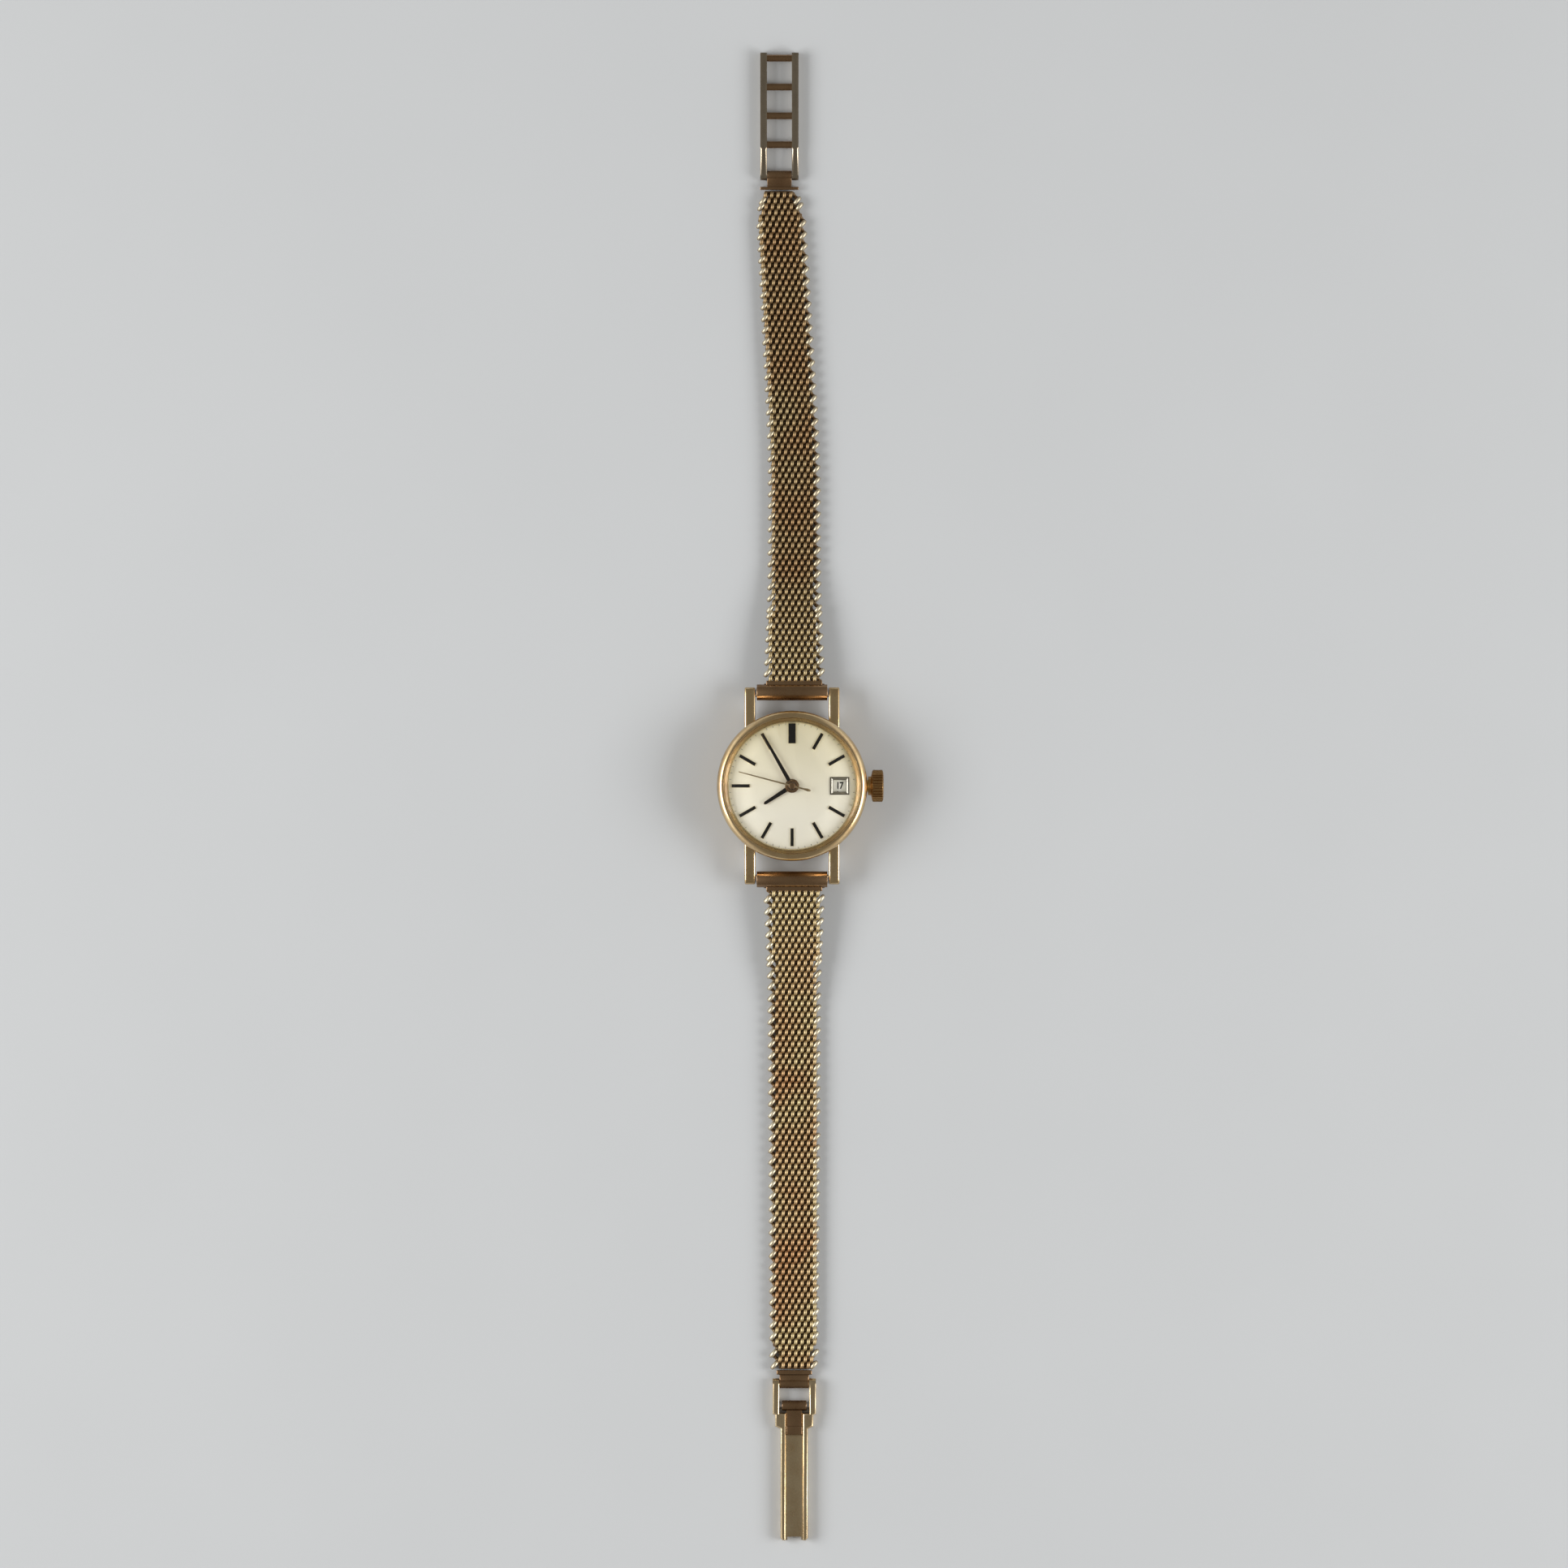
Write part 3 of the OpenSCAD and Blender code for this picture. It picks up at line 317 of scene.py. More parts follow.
@dataclass(frozen=True)
class BrushedMetal(Finish):
    """A metal with straight or round brushing."""

    colour: Colour
    round_about: bool = False
    gloss: float = 0.28
    rings_per_metre: float = 9000.0
    depth: float = 0.0015

    def paint(self, sheet: Sheet) -> Wire:
        """Draws the brushing in the colour, the gloss and the bump."""
        if self.round_about:
            east, north, _ = sheet.split(sheet.place())
            reach = (east * east + north * north) ** 0.5
            lines = sheet.stripes(reach * self.rings_per_metre, detail=2.0)
        else:
            lines = sheet.noise(size=1.2, detail=4.0, stretch=(1, 30, 1))
        clouds = sheet.noise(size=1.7)
        deep = tuple(c * 0.78 for c in self.colour)
        return sheet.surface(
            Base_Color=sheet.mix(lines * 0.6 + clouds * 0.4, deep, self.colour),
            Metallic=1.0,
            Roughness=self.gloss + 0.14 * lines,
            Normal=sheet.bump(lines, self.depth),
        )


@dataclass(frozen=True)
class WovenWire(Finish):
    """The drawn wire of the mesh: its gold on top, and darker deep in the weave with grime and
    painted shade.
    """

    colour: Colour
    warm: Colour
    # the browner tone of the upper band, which is painted shade
    worn: Colour
    # the dark tone deep in the weave: grime and painted shade
    dirt: Colour
    gloss: float = 0.38
    # how much, and over what run towards twelve o'clock, the upper band is browned as painted shade
    worn_share: float = 0.6
    worn_along: Point = (0.0, 0.03)  # metres towards twelve o'clock
    clear_of_case: Point = (0.0003, 0.0009)  # square metres, for the square of the distance

    def paint(self, sheet: Sheet) -> Wire:
        """Draws patches of two golds, painted shade that browns the upper band, and grime with
        painted shade deep in the weave.
        """
        _, north, _ = sheet.split(sheet.place())
        away_from_case = (north * north).between(*self.clear_of_case)
        patches = sheet.noise(size=6.0, detail=2.0).between(0.36, 0.64) * away_from_case
        turns = sheet.noise(size=0.7)
        depth = sheet.add("ShaderNodeAttribute", output="Fac", attribute_name="depth")
        # painted shade and grime: the lower a point of wire sits in the weave, the more it takes
        # the dark tone
        clear_of_grime_and_shade = depth.between(0.2, 1.0)
        gold = sheet.mix(patches, self.colour, self.warm)
        # painted shade: the upper band is mixed towards the browner tone
        gold = sheet.mix(north.between(*self.worn_along) * self.worn_share, gold, self.worn)
        return sheet.surface(
            Base_Color=sheet.mix(clear_of_grime_and_shade, self.dirt, gold),
            Metallic=0.35 + 0.65 * clear_of_grime_and_shade,
            Roughness=self.gloss + 0.16 * turns + (1 - clear_of_grime_and_shade) * 0.24,
            Normal=sheet.bump(sheet.noise(size=0.12), depth=0.0012),
        )


@dataclass(frozen=True)
class SunburstDial(Finish):
    """A silvered dial with fine brushing that runs out from its centre."""

    colour: Colour
    shade: Colour
    rays_per_radian: float = 40.0
    # the run towards twelve o'clock over which the painted shade sets in
    shade_along: Point = (-0.004, 0.009)  # metres towards twelve o'clock

    def paint(self, sheet: Sheet) -> Wire:
        """Draws the rays, and painted shade: a darker, warmer tone towards twelve o'clock."""
        east, north, _ = sheet.split(sheet.place())
        angle = north.maths("ARCTAN2", east)
        rays = sheet.stripes(angle * self.rays_per_radian, detail=5.0)
        # painted shade: the dial darkens to the creamier tone towards twelve o'clock
        upper = north.between(*self.shade_along)
        share = (rays * 0.35 + upper * 0.75).between(0.12, 0.95)
        return sheet.surface(
            Base_Color=sheet.mix(share, self.colour, self.shade),
            Metallic=0.04,
            Roughness=0.36 + 0.12 * rays,
            Normal=sheet.bump(rays, depth=0.0018),
        )


@dataclass(frozen=True)
class Enamel(Finish):
    """A paint, enamel, rubber or printed ink with a little unevenness."""

    colour: Colour
    gloss: float

    def paint(self, sheet: Sheet) -> Wire:
        """Draws faint clouds in the colour and the gloss."""
        clouds = sheet.noise(size=0.4, detail=4.0)
        light = tuple(min(1.0, c * 1.12 + 0.002) for c in self.colour)
        return sheet.surface(
            Base_Color=sheet.mix(clouds, self.colour, light),
            Metallic=0.0,
            Roughness=self.gloss + 0.1 * clouds,
            Normal=sheet.bump(clouds, depth=0.0008),
        )


@dataclass(frozen=True)
class ClearDome(Finish):
    """A clear crystal: it shows what is under it and mirrors the light at its edge."""

    shine: float = 0.5
    refraction: float = 1.49
    tint: Colour = (0.995, 0.995, 0.99)

    def paint(self, sheet: Sheet) -> Wire:
        """Mixes a clear pass with a mirror by the angle of view, with faint scratches."""
        scratches = sheet.noise(size=0.6, detail=6.0, stretch=(1, 14, 1))
        normal = sheet.bump(scratches, depth=0.0003)
        edge = sheet.add("ShaderNodeFresnel", {"IOR": self.refraction, "Normal": normal})
        mirror = edge * self.shine
        clear = sheet.add("ShaderNodeBsdfTransparent", {"Color": (*self.tint, 1.0)})
        gloss = sheet.add(
            "ShaderNodeBsdfGlossy",
            {"Color": (1.0, 1.0, 1.0, 1.0), "Roughness": 0.03, "Normal": normal},
        )
        return sheet.add("ShaderNodeMixShader", {0: mirror, 1: clear, 2: gloss})


@dataclass(frozen=True)
class PaleFloor(Finish):
    """The plain floor."""

    colour: Colour = field(default_factory=lambda: srgb(188, 191, 195))

    def paint(self, sheet: Sheet) -> Wire:
        """Draws a plain matt colour with the faintest clouds."""
        clouds = sheet.noise(size=30.0, detail=2.0)
        deep = tuple(c * 0.96 for c in self.colour)
        return sheet.surface(
            Base_Color=sheet.mix(clouds, deep, self.colour), Roughness=0.8, Metallic=0.0
        )


GOLD = PolishedMetal("polished_gold_plate", srgb(222, 202, 166), srgb(186, 160, 122), 0.16, 0.34)
GOLD_CASE = PolishedMetal("case_gold_plate", srgb(222, 196, 152), srgb(188, 156, 112), 0.14, 0.3)
PALE_GOLD = PolishedMetal("pale_gold", srgb(236, 222, 184), srgb(220, 198, 150))
# a darker copy of the plated gold: its darkness is painted shade, on the tubes, their lips, the
# hands, the end plates, the rungs and the hook
SHADED_GOLD = PolishedMetal("rubbed_gold_plate", srgb(160, 130, 99), srgb(126, 97, 70))
# a greyed copy of the plated gold for the ladder rails: the grey is a painted reflection of the
# grey room
GREY_REFLECTION_GOLD = PolishedMetal(
    "dull_gold_plate", srgb(170, 158, 140), srgb(138, 126, 108), dull=0.34
)
# a darker, browner copy of the case gold for the crown: painted shade
CROWN_GOLD = PolishedMetal("crown_gold_plate", srgb(186, 148, 98), srgb(146, 110, 68))
# a near-white copy of the plated gold for the crystal's ring: its paleness is a painted highlight
RING_GOLD = PolishedMetal("ring_gold", srgb(246, 234, 206), srgb(234, 214, 180), 0.24, 0.4)
SILVER = PolishedMetal("silvered_frame", srgb(176, 174, 166), srgb(154, 150, 142), 0.36, 0.48)
BLUED = PolishedMetal("blued_steel", srgb(44, 60, 132), srgb(70, 60, 120), 0.18, 0.3)
STEEL = BrushedMetal("brushed_steel", srgb(205, 205, 207))
BACK_STEEL = BrushedMetal("turned_steel", srgb(208, 208, 210), round_about=True)
BRASS = BrushedMetal("gilt_brass", srgb(222, 188, 112), gloss=0.24)
WEAVE = WovenWire(
    "woven_gold_wire",
    colour=srgb(188, 171, 132),
    warm=srgb(178, 141, 103),
    worn=srgb(130, 110, 80),
    dirt=srgb(104, 79, 50),
)
# the edge loops are the same wire as the weave; their paler tones are painted light on the band's
# edges
EDGE_WIRE = WovenWire(
    "edge_gold_wire",
    colour=srgb(216, 208, 186),
    warm=srgb(204, 190, 164),
    worn=srgb(186, 174, 150),
    dirt=srgb(108, 86, 58),
)
# the cross wires are the same gold as the weave; their darker tones, and the dark tone that they
# take deep in the weave, are painted shade
CORE = WovenWire(
    "core_wire",
    colour=srgb(146, 116, 78),
    warm=srgb(134, 100, 66),
    worn=srgb(118, 92, 62),
    dirt=srgb(104, 79, 50),
)
DIAL = SunburstDial("silvered_dial", srgb(252, 249, 238), srgb(246, 238, 206))
INK = Enamel("black_enamel", srgb(12, 11, 10), 0.2)
DATE_WHITE = Enamel("date_ring_white", srgb(236, 235, 228), 0.5)
RUBBER = Enamel("black_rubber", srgb(24, 24, 25), 0.62)
FRAME_EDGE = Enamel("dark_frame_edge", srgb(72, 66, 54), 0.34)
CRYSTAL = ClearDome("clear_crystal")
CRYSTAL_INSIDE = ClearDome("clear_crystal_inside", shine=0.08)


# Mesh building

WELD = 0.004  # millimetres between points that are merged
FLAT = 0.6  # degrees below which two faces become one
CREASE = 28.0  # degrees above which an edge is rounded
BROAD_CREASE = 40.0  # the same after a broad rounding, and for sharp shading
RIM_TURN = 60.0  # degrees above which an edge is part of a rim
RIM_STEPS = 5  # faces across a rounded rim
SHORTEST_RIM = 0.3  # millimetres
CLOSE = 0.001  # millimetres between levels that count as one


def rounded(corners: Sequence[Point], radius: float, steps: int = 3) -> list[Point]:
    """Rounds the corners of a closed outline, but not those on the axis.

    Args:
        corners: The outline's corners.
        radius: How far from a corner its rounding starts.
        steps: Points in each rounding.

    Returns:
        The rounded outline.
    """
    made: list[Point] = []
    most = 0.45
    for i, here in enumerate(corners):
        spot = Vector(here)
        back, ahead = Vector(corners[i - 1]) - spot, Vector(corners[(i + 1) % len(corners)]) - spot
        reach = min(radius, back.length * most, ahead.length * most)
        if reach < NIL or abs(here[0]) < NIL:
            made.append(here)
            continue
        start, end = spot + back.normalized() * reach, spot + ahead.normalized() * reach
        for k in range(steps + 1):
            t = k / steps
            made.append(tuple(start * (1 - t) ** 2 + spot * 2 * t * (1 - t) + end * t**2))
    return made


def linked(name: str, data: bpy.types.ID) -> bpy.types.Object:
    """Puts a mesh, a text, a lamp or a camera into the scene as an object."""
    piece = bpy.data.objects.new(name, data)
    bpy.context.scene.collection.objects.link(piece)
    return piece


def evaluated(holder: bpy.types.Object) -> bpy.types.Mesh:
    """Keeps what an object looks like as a plain mesh, and removes the object."""
    bpy.context.view_layer.update()
    graph = bpy.context.evaluated_depsgraph_get()
    mesh = bpy.data.meshes.new_from_object(holder.evaluated_get(graph), depsgraph=graph)
    bpy.data.objects.remove(holder)
    return mesh


def finish_mesh(
    name: str, form: bmesh.types.BMesh, finishes: Sequence[Finish], sharp: float = 35.0
) -> bpy.types.Object:
    """Turns a form in millimetres into an object in metres.

    Args:
        name: The piece's name.
        form: The form, which is freed.
        finishes: Its finishes, in the order of its material numbers.
        sharp: Edges that turn more than this angle in degrees stay sharp.

    Returns:
        The object, at the origin.
    """
    bmesh.ops.scale(form, vec=(MM, MM, MM), verts=form.verts)
    mesh = bpy.data.meshes.new(name)
    form.to_mesh(mesh)
    form.free()
    mesh.shade_smooth()
    mesh.set_sharp_from_angle(angle=math.radians(sharp))
    for finish in finishes:
        mesh.materials.append(finish.material())
    return linked(name, mesh)


def skin(
    form: bmesh.types.BMesh, rings: Sequence[Sequence[Vector]], numbers: Sequence[int]
) -> None:
    """Spans faces from ring to ring, and from the last ring back to the first.

    Args:
        form: The form that they are added to.
        rings: The points of each ring. A ring of one point is a pole.
        numbers: The material number of the faces that start at each ring.
    """
    steps = max(len(ring) for ring in rings)
    made = [[form.verts.new(spot) for spot in ring] * (steps // len(ring)) for ring in rings]
    faces = []
    for number, here, there in zip(numbers, made, made[1:] + made[:1]):
        if here[0] is here[1] and there[0] is there[1]:
            continue
        for k in range(steps):
            after = (k + 1) % steps
            corners = dict.fromkeys((here[k], here[after], there[after], there[k]))
            face = form.faces.new(list(corners))
            face.material_index = number
            faces.append(face)
    bmesh.ops.recalc_face_normals(form, faces=faces)


def lathe(
    form: bmesh.types.BMesh, outline: Sequence[Point], steps: int = 144, number: int = 0
) -> None:
    """Spins a closed outline of radius and height about Z.

    Args:
        form: The form that it is added to.
        outline: Its corners, as radius and height.
        steps: Faces round it.
        number: Its material number.
    """
    angles = [FULL_TURN * k / steps for k in range(steps)]
    rings = [
        [Vector((radius * math.cos(a), radius * math.sin(a), height)) for a in angles]
        if radius > NIL
        else [Vector((0, 0, height))]
        for radius, height in outline
    ]
    skin(form, rings, [number] * len(rings))


def turned(name: str, outline: Sequence[Point], steps: int, finish: Finish) -> bpy.types.Object:
    """Turns a piece on a lathe.

    Args:
        name: The piece's name.
        outline: Its corners, as radius and height.
        steps: Faces round it.
        finish: Its finish.

    Returns:
        The piece.
    """
    form = bmesh.new()
    lathe(form, outline, steps)
    return finish_mesh(name, form, [finish])


def prism(
    form: bmesh.types.BMesh,
    outline: Sequence[Point],
    low: float,
    high: float,
    place: Matrix,
    number: int = 0,
    edge: float = 0.0,
    segments: int = 2,
) -> None:
    """Raises a closed outline in X and Y between two heights, with rounded edges.

    Args:
        form: The form that it is added to.
        outline: Its corners.
        low: The height of its foot.
        high: The height of its top.
        place: Where it goes afterwards.
        number: Its material number.
        edge: The width of the rounding on its sharp edges.
        segments: Faces across the rounding.
    """
    part, held = bmesh.new(), bpy.data.meshes.new("held")
    base = part.faces.new([part.verts.new((x, y, low)) for x, y in outline])
    grown = bmesh.ops.extrude_face_region(part, geom=[base])
    top = [v for v in grown["geom"] if isinstance(v, bmesh.types.BMVert)]
    bmesh.ops.translate(part, verts=top, vec=(0, 0, high - low))
    bmesh.ops.recalc_face_normals(part, faces=part.faces)
    if edge > 0:
        bevel(part, turning_edges(part, CREASE), edge, segments)
    for face in part.faces:
        face.material_index = number
    bmesh.ops.transform(part, matrix=place, verts=part.verts)
    part.to_mesh(held)
    part.free()
    form.from_mesh(held)
    bpy.data.meshes.remove(held)


def turning_edges(form: bmesh.types.BMesh, angle: float) -> list[bmesh.types.BMEdge]:
    """Finds the edges between two faces that turn more than an angle in degrees."""
    limit = math.radians(angle)
    return [e for e in form.edges if len(e.link_faces) == 2 and e.calc_face_angle(0) > limit]


def bevel(
    form: bmesh.types.BMesh,
    edges: list[bmesh.types.BMEdge],
    width: float,
    segments: int,
    clamp: bool = True,
) -> None:
    """Rounds some edges of a form.

    Args:
        form: The form, in millimetres.
        edges: The edges.
        width: The width of the rounding.
        segments: Faces across it.
        clamp: Whether it stops where two roundings meet.
    """
    bmesh.ops.bevel(
        form,
        geom=edges,
        offset=width,
        offset_type="OFFSET",
        segments=segments,
        profile=0.5,
        affect="EDGES",
        clamp_overlap=clamp,
        harden_normals=False,
    )


def crown_rims(form: bmesh.types.BMesh, width: float, reach: float) -> None:
    """Rounds the edges round a form's top faces broadly, so that its rims look rolled.

    Args:
        form: The form, in millimetres.
        width: The width of the rounding.
        reach: How far it goes from the form's low end, or 0 for all of it.
    """
    top = max(v.co.z for v in form.verts) - CLOSE
    far = max(v.co.y for v in form.verts)
    if reach > 0:
        far = min(v.co.y for v in form.verts) + reach
        bmesh.ops.bisect_plane(
            form,
            geom=form.verts[:] + form.edges[:] + form.faces[:],
            dist=CLOSE / 10,
            plane_co=(0, far, 0),
            plane_no=(0, 1, 0),
        )
    edges = [
        e
        for e in turning_edges(form, RIM_TURN)
        if e.calc_length() > SHORTEST_RIM
        and all(v.co.z > top and v.co.y < far + CLOSE for v in e.verts)
    ]
    bevel(form, edges, width, RIM_STEPS, clamp=False)


def softened(
    frame: dict,
    node: str,
    finish: Finish,
    width: float,
    segments: int = 2,
    crown: float = 0.0,
    reach: float = 0.0,
) -> bpy.types.Object:
    """Makes a piece from a CAD node with its edges rounded.

    Args:
        frame: The loaded frame.
        node: The node's name.
        finish: Its finish.
        width: The width of the rounding in millimetres.
        segments: Faces across the rounding.
        crown: The width of the broader rounding round its top faces, or 0 for none.
        reach: How far the broader rounding goes from the low end, or 0 for all of it.

    Returns:
        The piece.
    """
    form = bmesh.new()
    form.from_mesh(frame["nodes"][node].data)
    bmesh.ops.scale(form, vec=(1 / MM,) * 3, verts=form.verts)
    bmesh.ops.remove_doubles(form, verts=form.verts, dist=WELD)
    bmesh.ops.dissolve_limit(
        form, angle_limit=math.radians(FLAT), verts=form.verts, edges=form.edges
    )
    if crown > 0:
        crown_rims(form, crown, reach)
    least = BROAD_CREASE if crown > 0 else CREASE
    bevel(form, turning_edges(form, least), width, segments)
    for face in form.faces:
        face.material_index = 0
    return finish_mesh(f"{node}_piece", form, [finish], BROAD_CREASE)


def joined(
    name: str, parts: Sequence[bpy.types.Object], sharp: float | None = None
) -> bpy.types.Object:
    """Joins pieces into one.

    Args:
        name: The name of the result.
        parts: The pieces, which are used up.
        sharp: Edges that turn more than this angle in degrees stay sharp, if it is given.

    Returns:
        The joined piece.
    """
    finishes: list[bpy.types.Material] = []
    form = bmesh.new()
    form.verts.layers.float.new("depth")
    for part in parts:
        mesh = part.data
        numbers = []
        for material in mesh.materials:
            if material not in finishes:
                finishes.append(material)
            numbers.append(finishes.index(material))
        start = len(form.faces)
        form.from_mesh(mesh)
        form.faces.ensure_lookup_table()
        for face in form.faces[start:]:
            face.material_index = numbers[face.material_index]
            face.smooth = True
        bpy.data.objects.remove(part)
        bpy.data.meshes.remove(mesh)
    mesh = bpy.data.meshes.new(name)
    form.to_mesh(mesh)
    form.free()
    for material in finishes:
        mesh.materials.append(material)
    if sharp is not None:
        mesh.set_sharp_from_angle(angle=math.radians(sharp))
    return linked(name, mesh)


def put(piece: bpy.types.Object, body: str, slot: str, *nodes: str) -> None:
    """Puts a piece on its body and in the place of its CAD nodes.

    Args:
        piece: The piece.
        body: The body that it rides on.
        slot: The slot of its material; it is not used.
        nodes: The CAD nodes that it replaces.
    """
    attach(piece, body)
    if nodes:
        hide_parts(*nodes)
    LOG.info("%s rides on %s", piece.name, body)


def dress(frame: dict, node: str, finish: Finish) -> None:
    """Gives a CAD node its finish.

    Args:
        frame: The loaded frame.
        node: The node's name.
        finish: Its finish.
    """
    mesh = frame["nodes"][node].data
    mesh.materials.clear()
    mesh.materials.append(finish.material())


# Geometry Nodes


class NodeField(NodeTree):
    """A Geometry Nodes tree with named inputs that copies one shape to every place."""

    def __init__(
        self, name: str, lengths: Sequence[str], shares: Sequence[str], counts: Sequence[str] = ()
    ) -> None:
        """Starts a tree with one geometry output.

        Args:
            name: The tree's name.
            lengths: The names of its inputs that are lengths.
            shares: The names of its inputs without a unit.
            counts: The names of its inputs that are whole numbers.
        """
        super().__init__(bpy.data.node_groups.new(name, "GeometryNodeTree"))
        self.lengths = lengths
        kinds = {key: "Float" for key in (*lengths, *shares)} | {key: "Int" for key in counts}
        kinds = {"Geometry": "Geometry", **kinds, "Finish": "Material"}
        sockets = self.tree.interface
        sockets.new_socket("Geometry", in_out="OUTPUT", socket_type="NodeSocketGeometry")
        self.names = {
            key: sockets.new_socket(
                key, in_out="INPUT", socket_type=f"NodeSocket{kind}"
            ).identifier
            for key, kind in kinds.items()
        }
        self.start = self.node("NodeGroupInput")

    def given(self, *names: str) -> list[Wire]:
        """Gives the wires of some named inputs."""
        return [Wire(self, self.start.outputs[name]) for name in names]

    def vector(self, x: Wire | float = 0.0, y: Wire | float = 0.0, z: Wire | float = 0.0) -> Wire:
        """Joins three values into a vector."""
        return self.add("ShaderNodeCombineXYZ", {0: x, 1: y, 2: z})

    def close(self, shape: Wire) -> None:
        """Ends the tree: the shape copied to every place, made real and given its material.

        Args:
            shape: The geometry of one copy.
        """
        points, finish = self.given("Geometry", "Finish")
        turns = self.add(
            "GeometryNodeInputNamedAttribute", {"Name": "turned"}, data_type="FLOAT_VECTOR"
        )
        copies = self.add(
            "GeometryNodeInstanceOnPoints", {"Points": points, "Instance": shape, "Rotation": turns}
        )
        real = self.add("GeometryNodeRealizeInstances", {"Geometry": copies})
        dressed = self.add("GeometryNodeSetMaterial", {"Geometry": real, "Material": finish})
        self.node("NodeGroupOutput", {0: dressed})

    def grow(
        self, name: str, spots: Spots, values: dict[str, float], finish: Finish
    ) -> bpy.types.Object:
        """Runs the tree on a set of places and keeps the result as a plain mesh.

        Args:
            name: The piece's name.
            spots: Place in millimetres and turn of each copy.
            values: The named inputs, with lengths in millimetres.
            finish: The finish of the whole.

        Returns:
            The piece.
        """
        seeds = bpy.data.meshes.new(f"{name}_seeds")
        seeds.from_pydata([tuple(place * MM) for place, _ in spots], [], [])
        turns = seeds.attributes.new("turned", "FLOAT_VECTOR", "POINT")
        turns.data.foreach_set("vector", [v for _, turn in spots for v in turn])
        holder = linked(f"{name}_holder", seeds)
        modifier = holder.modifiers.new("grow", "NODES")
        modifier.node_group = self.tree
        modifier[self.names["Finish"]] = finish.material()
        for key, value in values.items():
            modifier[self.names[key]] = value * MM if key in self.lengths else value
        holder.update_tag()
        mesh = evaluated(holder)
        bpy.data.meshes.remove(seeds)
        mesh.name = name
        if "turned" in mesh.attributes:
            mesh.attributes.remove(mesh.attributes["turned"])
        return linked(name, mesh)


class WireTurns(NodeField):
    """Bent pieces of wire: turns of a flattened coil, or the loops at the edges."""

    def __init__(self) -> None:
        """Draws the tree: one bent wire, copied to every place."""
        lengths = ("Wire Radius", "Half Length", "Half Height", "Advance")
        super().__init__("wire_turns", lengths, ("Hold", "Start"), ("Steps", "Sides"))
        radius, half_length, half_height, advance = self.given(*lengths)
        hold, start, steps, sides = self.given("Hold", "Start", "Steps", "Sides")
        line = self.add("GeometryNodeMeshLine", {"Count": steps + 1.0})
        step = self.add("GeometryNodeInputIndex") / steps
        turn = step * FULL_TURN + start
        back, up = turn.maths("COSINE"), turn.maths("SINE")
        spot = self.vector(
            (step - 0.5 + back * hold) * advance,
            self.fuller(back) * (half_length * -1.0),
            self.fuller(up) * half_height,
        )
        bent = self.add("GeometryNodeSetPosition", {"Geometry": line, "Position": spot})
        path = self.add("GeometryNodeMeshToCurve", {"Mesh": bent})
        ring = self.add(
            "GeometryNodeCurvePrimitiveCircle", {"Resolution": sides, "Radius": radius}
        )
        wire = self.add(
            "GeometryNodeCurveToMesh", {"Curve": path, "Profile Curve": ring, "Fill Caps": True}
        )
        height = self.split(self.add("GeometryNodeInputPosition"))[2]
        # the height share stored here darkens the low wire in the weave's material, as painted
        # shade
        marked = self.add(
            "GeometryNodeStoreNamedAttribute",
            {"Geometry": wire, "Name": "depth", "Value": abs(height) / half_height},
            data_type="FLOAT",
            domain="POINT",
        )
        self.close(self.add("GeometryNodeSetShadeSmooth", {0: marked}))

    def fuller(self, value: Wire) -> Wire:
        """Bends a sine into a fuller curve, so that a turn gets flatter sides."""
        fullness = 0.8
        return abs(value) ** fullness * value.maths("SIGN")


class RoundBars(NodeField):
    """Short bars with a trapezoid section, for dial marks and flutes."""

    def __init__(self) -> None:
        """Draws the tree: one bar with a narrower top, copied to every place."""
        super().__init__("round_bars", ("Length", "Width", "Height"), ("Top Share",))
        length, width, height, share = self.given("Length", "Width", "Height", "Top Share")
        block = self.add("GeometryNodeMeshCube", {"Size": self.vector(length, width, height)})
        lift = self.vector(z=height * 0.5)
        raised = self.add("GeometryNodeSetPosition", {"Geometry": block, "Offset": lift})
        along, across, up = self.split(self.add("GeometryNodeInputPosition"))
        is_top = up.maths("GREATER_THAN", height * 0.5)
        drop = is_top * (share - 1.0)
        pull = self.vector(along.maths("SIGN") * drop * (width * 0.5), across * drop)
        narrowed = self.add("GeometryNodeSetPosition", {"Geometry": raised, "Offset": pull})
        self.close(narrowed)

    def bars(
        self,
        name: str,
        spots: Spots,
        size: Triple,
        share: float,
        finish: Finish,
    ) -> bpy.types.Object:
        """Makes a set of equal bars."""
        values = dict(zip(("Length", "Width", "Height", "Top Share"), (*size, share)))
        return self.grow(name, spots, values, finish)


# The band


class Side(Enum):
    """The half of the band above or below the case."""

    UPPER = 1
    LOWER = -1


@dataclass(frozen=True)
class Turn:
    """The measures of one kind of bent wire in the weave."""

    wire: float
    half_length: float
    advance: float
    start: float
    steps: int
    sides: int
    hold: float = 0.12

    def values(self, half: float) -> dict[str, float]:
        """Gives the inputs of the wire's tree.

        Args:
            half: Half the thickness of the mesh.

        Returns:
            The named inputs.
        """
        return {
            "Wire Radius": self.wire,
            "Half Length": self.half_length,
            "Half Height": half - self.wire,
            "Advance": self.advance,
            "Hold": self.hold,
            "Start": self.start,
            "Steps": self.steps,
            "Sides": self.sides,
        }


COIL = Turn(wire=0.245, half_length=0.33, advance=0.86, start=0.0, steps=16, sides=9)
EDGE = Turn(wire=0.29, half_length=0.45, advance=0.0, start=-QUARTER_TURN, steps=20, sides=10)


@dataclass
class Row:
    """One row of the weave: its place, its axes (across, outwards, up) and its width."""

    place: Vector
    axes: Matrix
    width: float

    def at(self, across: float) -> Vector:
        """Gives the place at a distance across from the row's middle."""
        return self.place + self.axes @ Vector((across, 0, 0))

    def matrix(self) -> Matrix:
        """Gives the row's place and axes as one matrix."""
        return Matrix.Translation(self.place) @ self.axes.to_4x4()


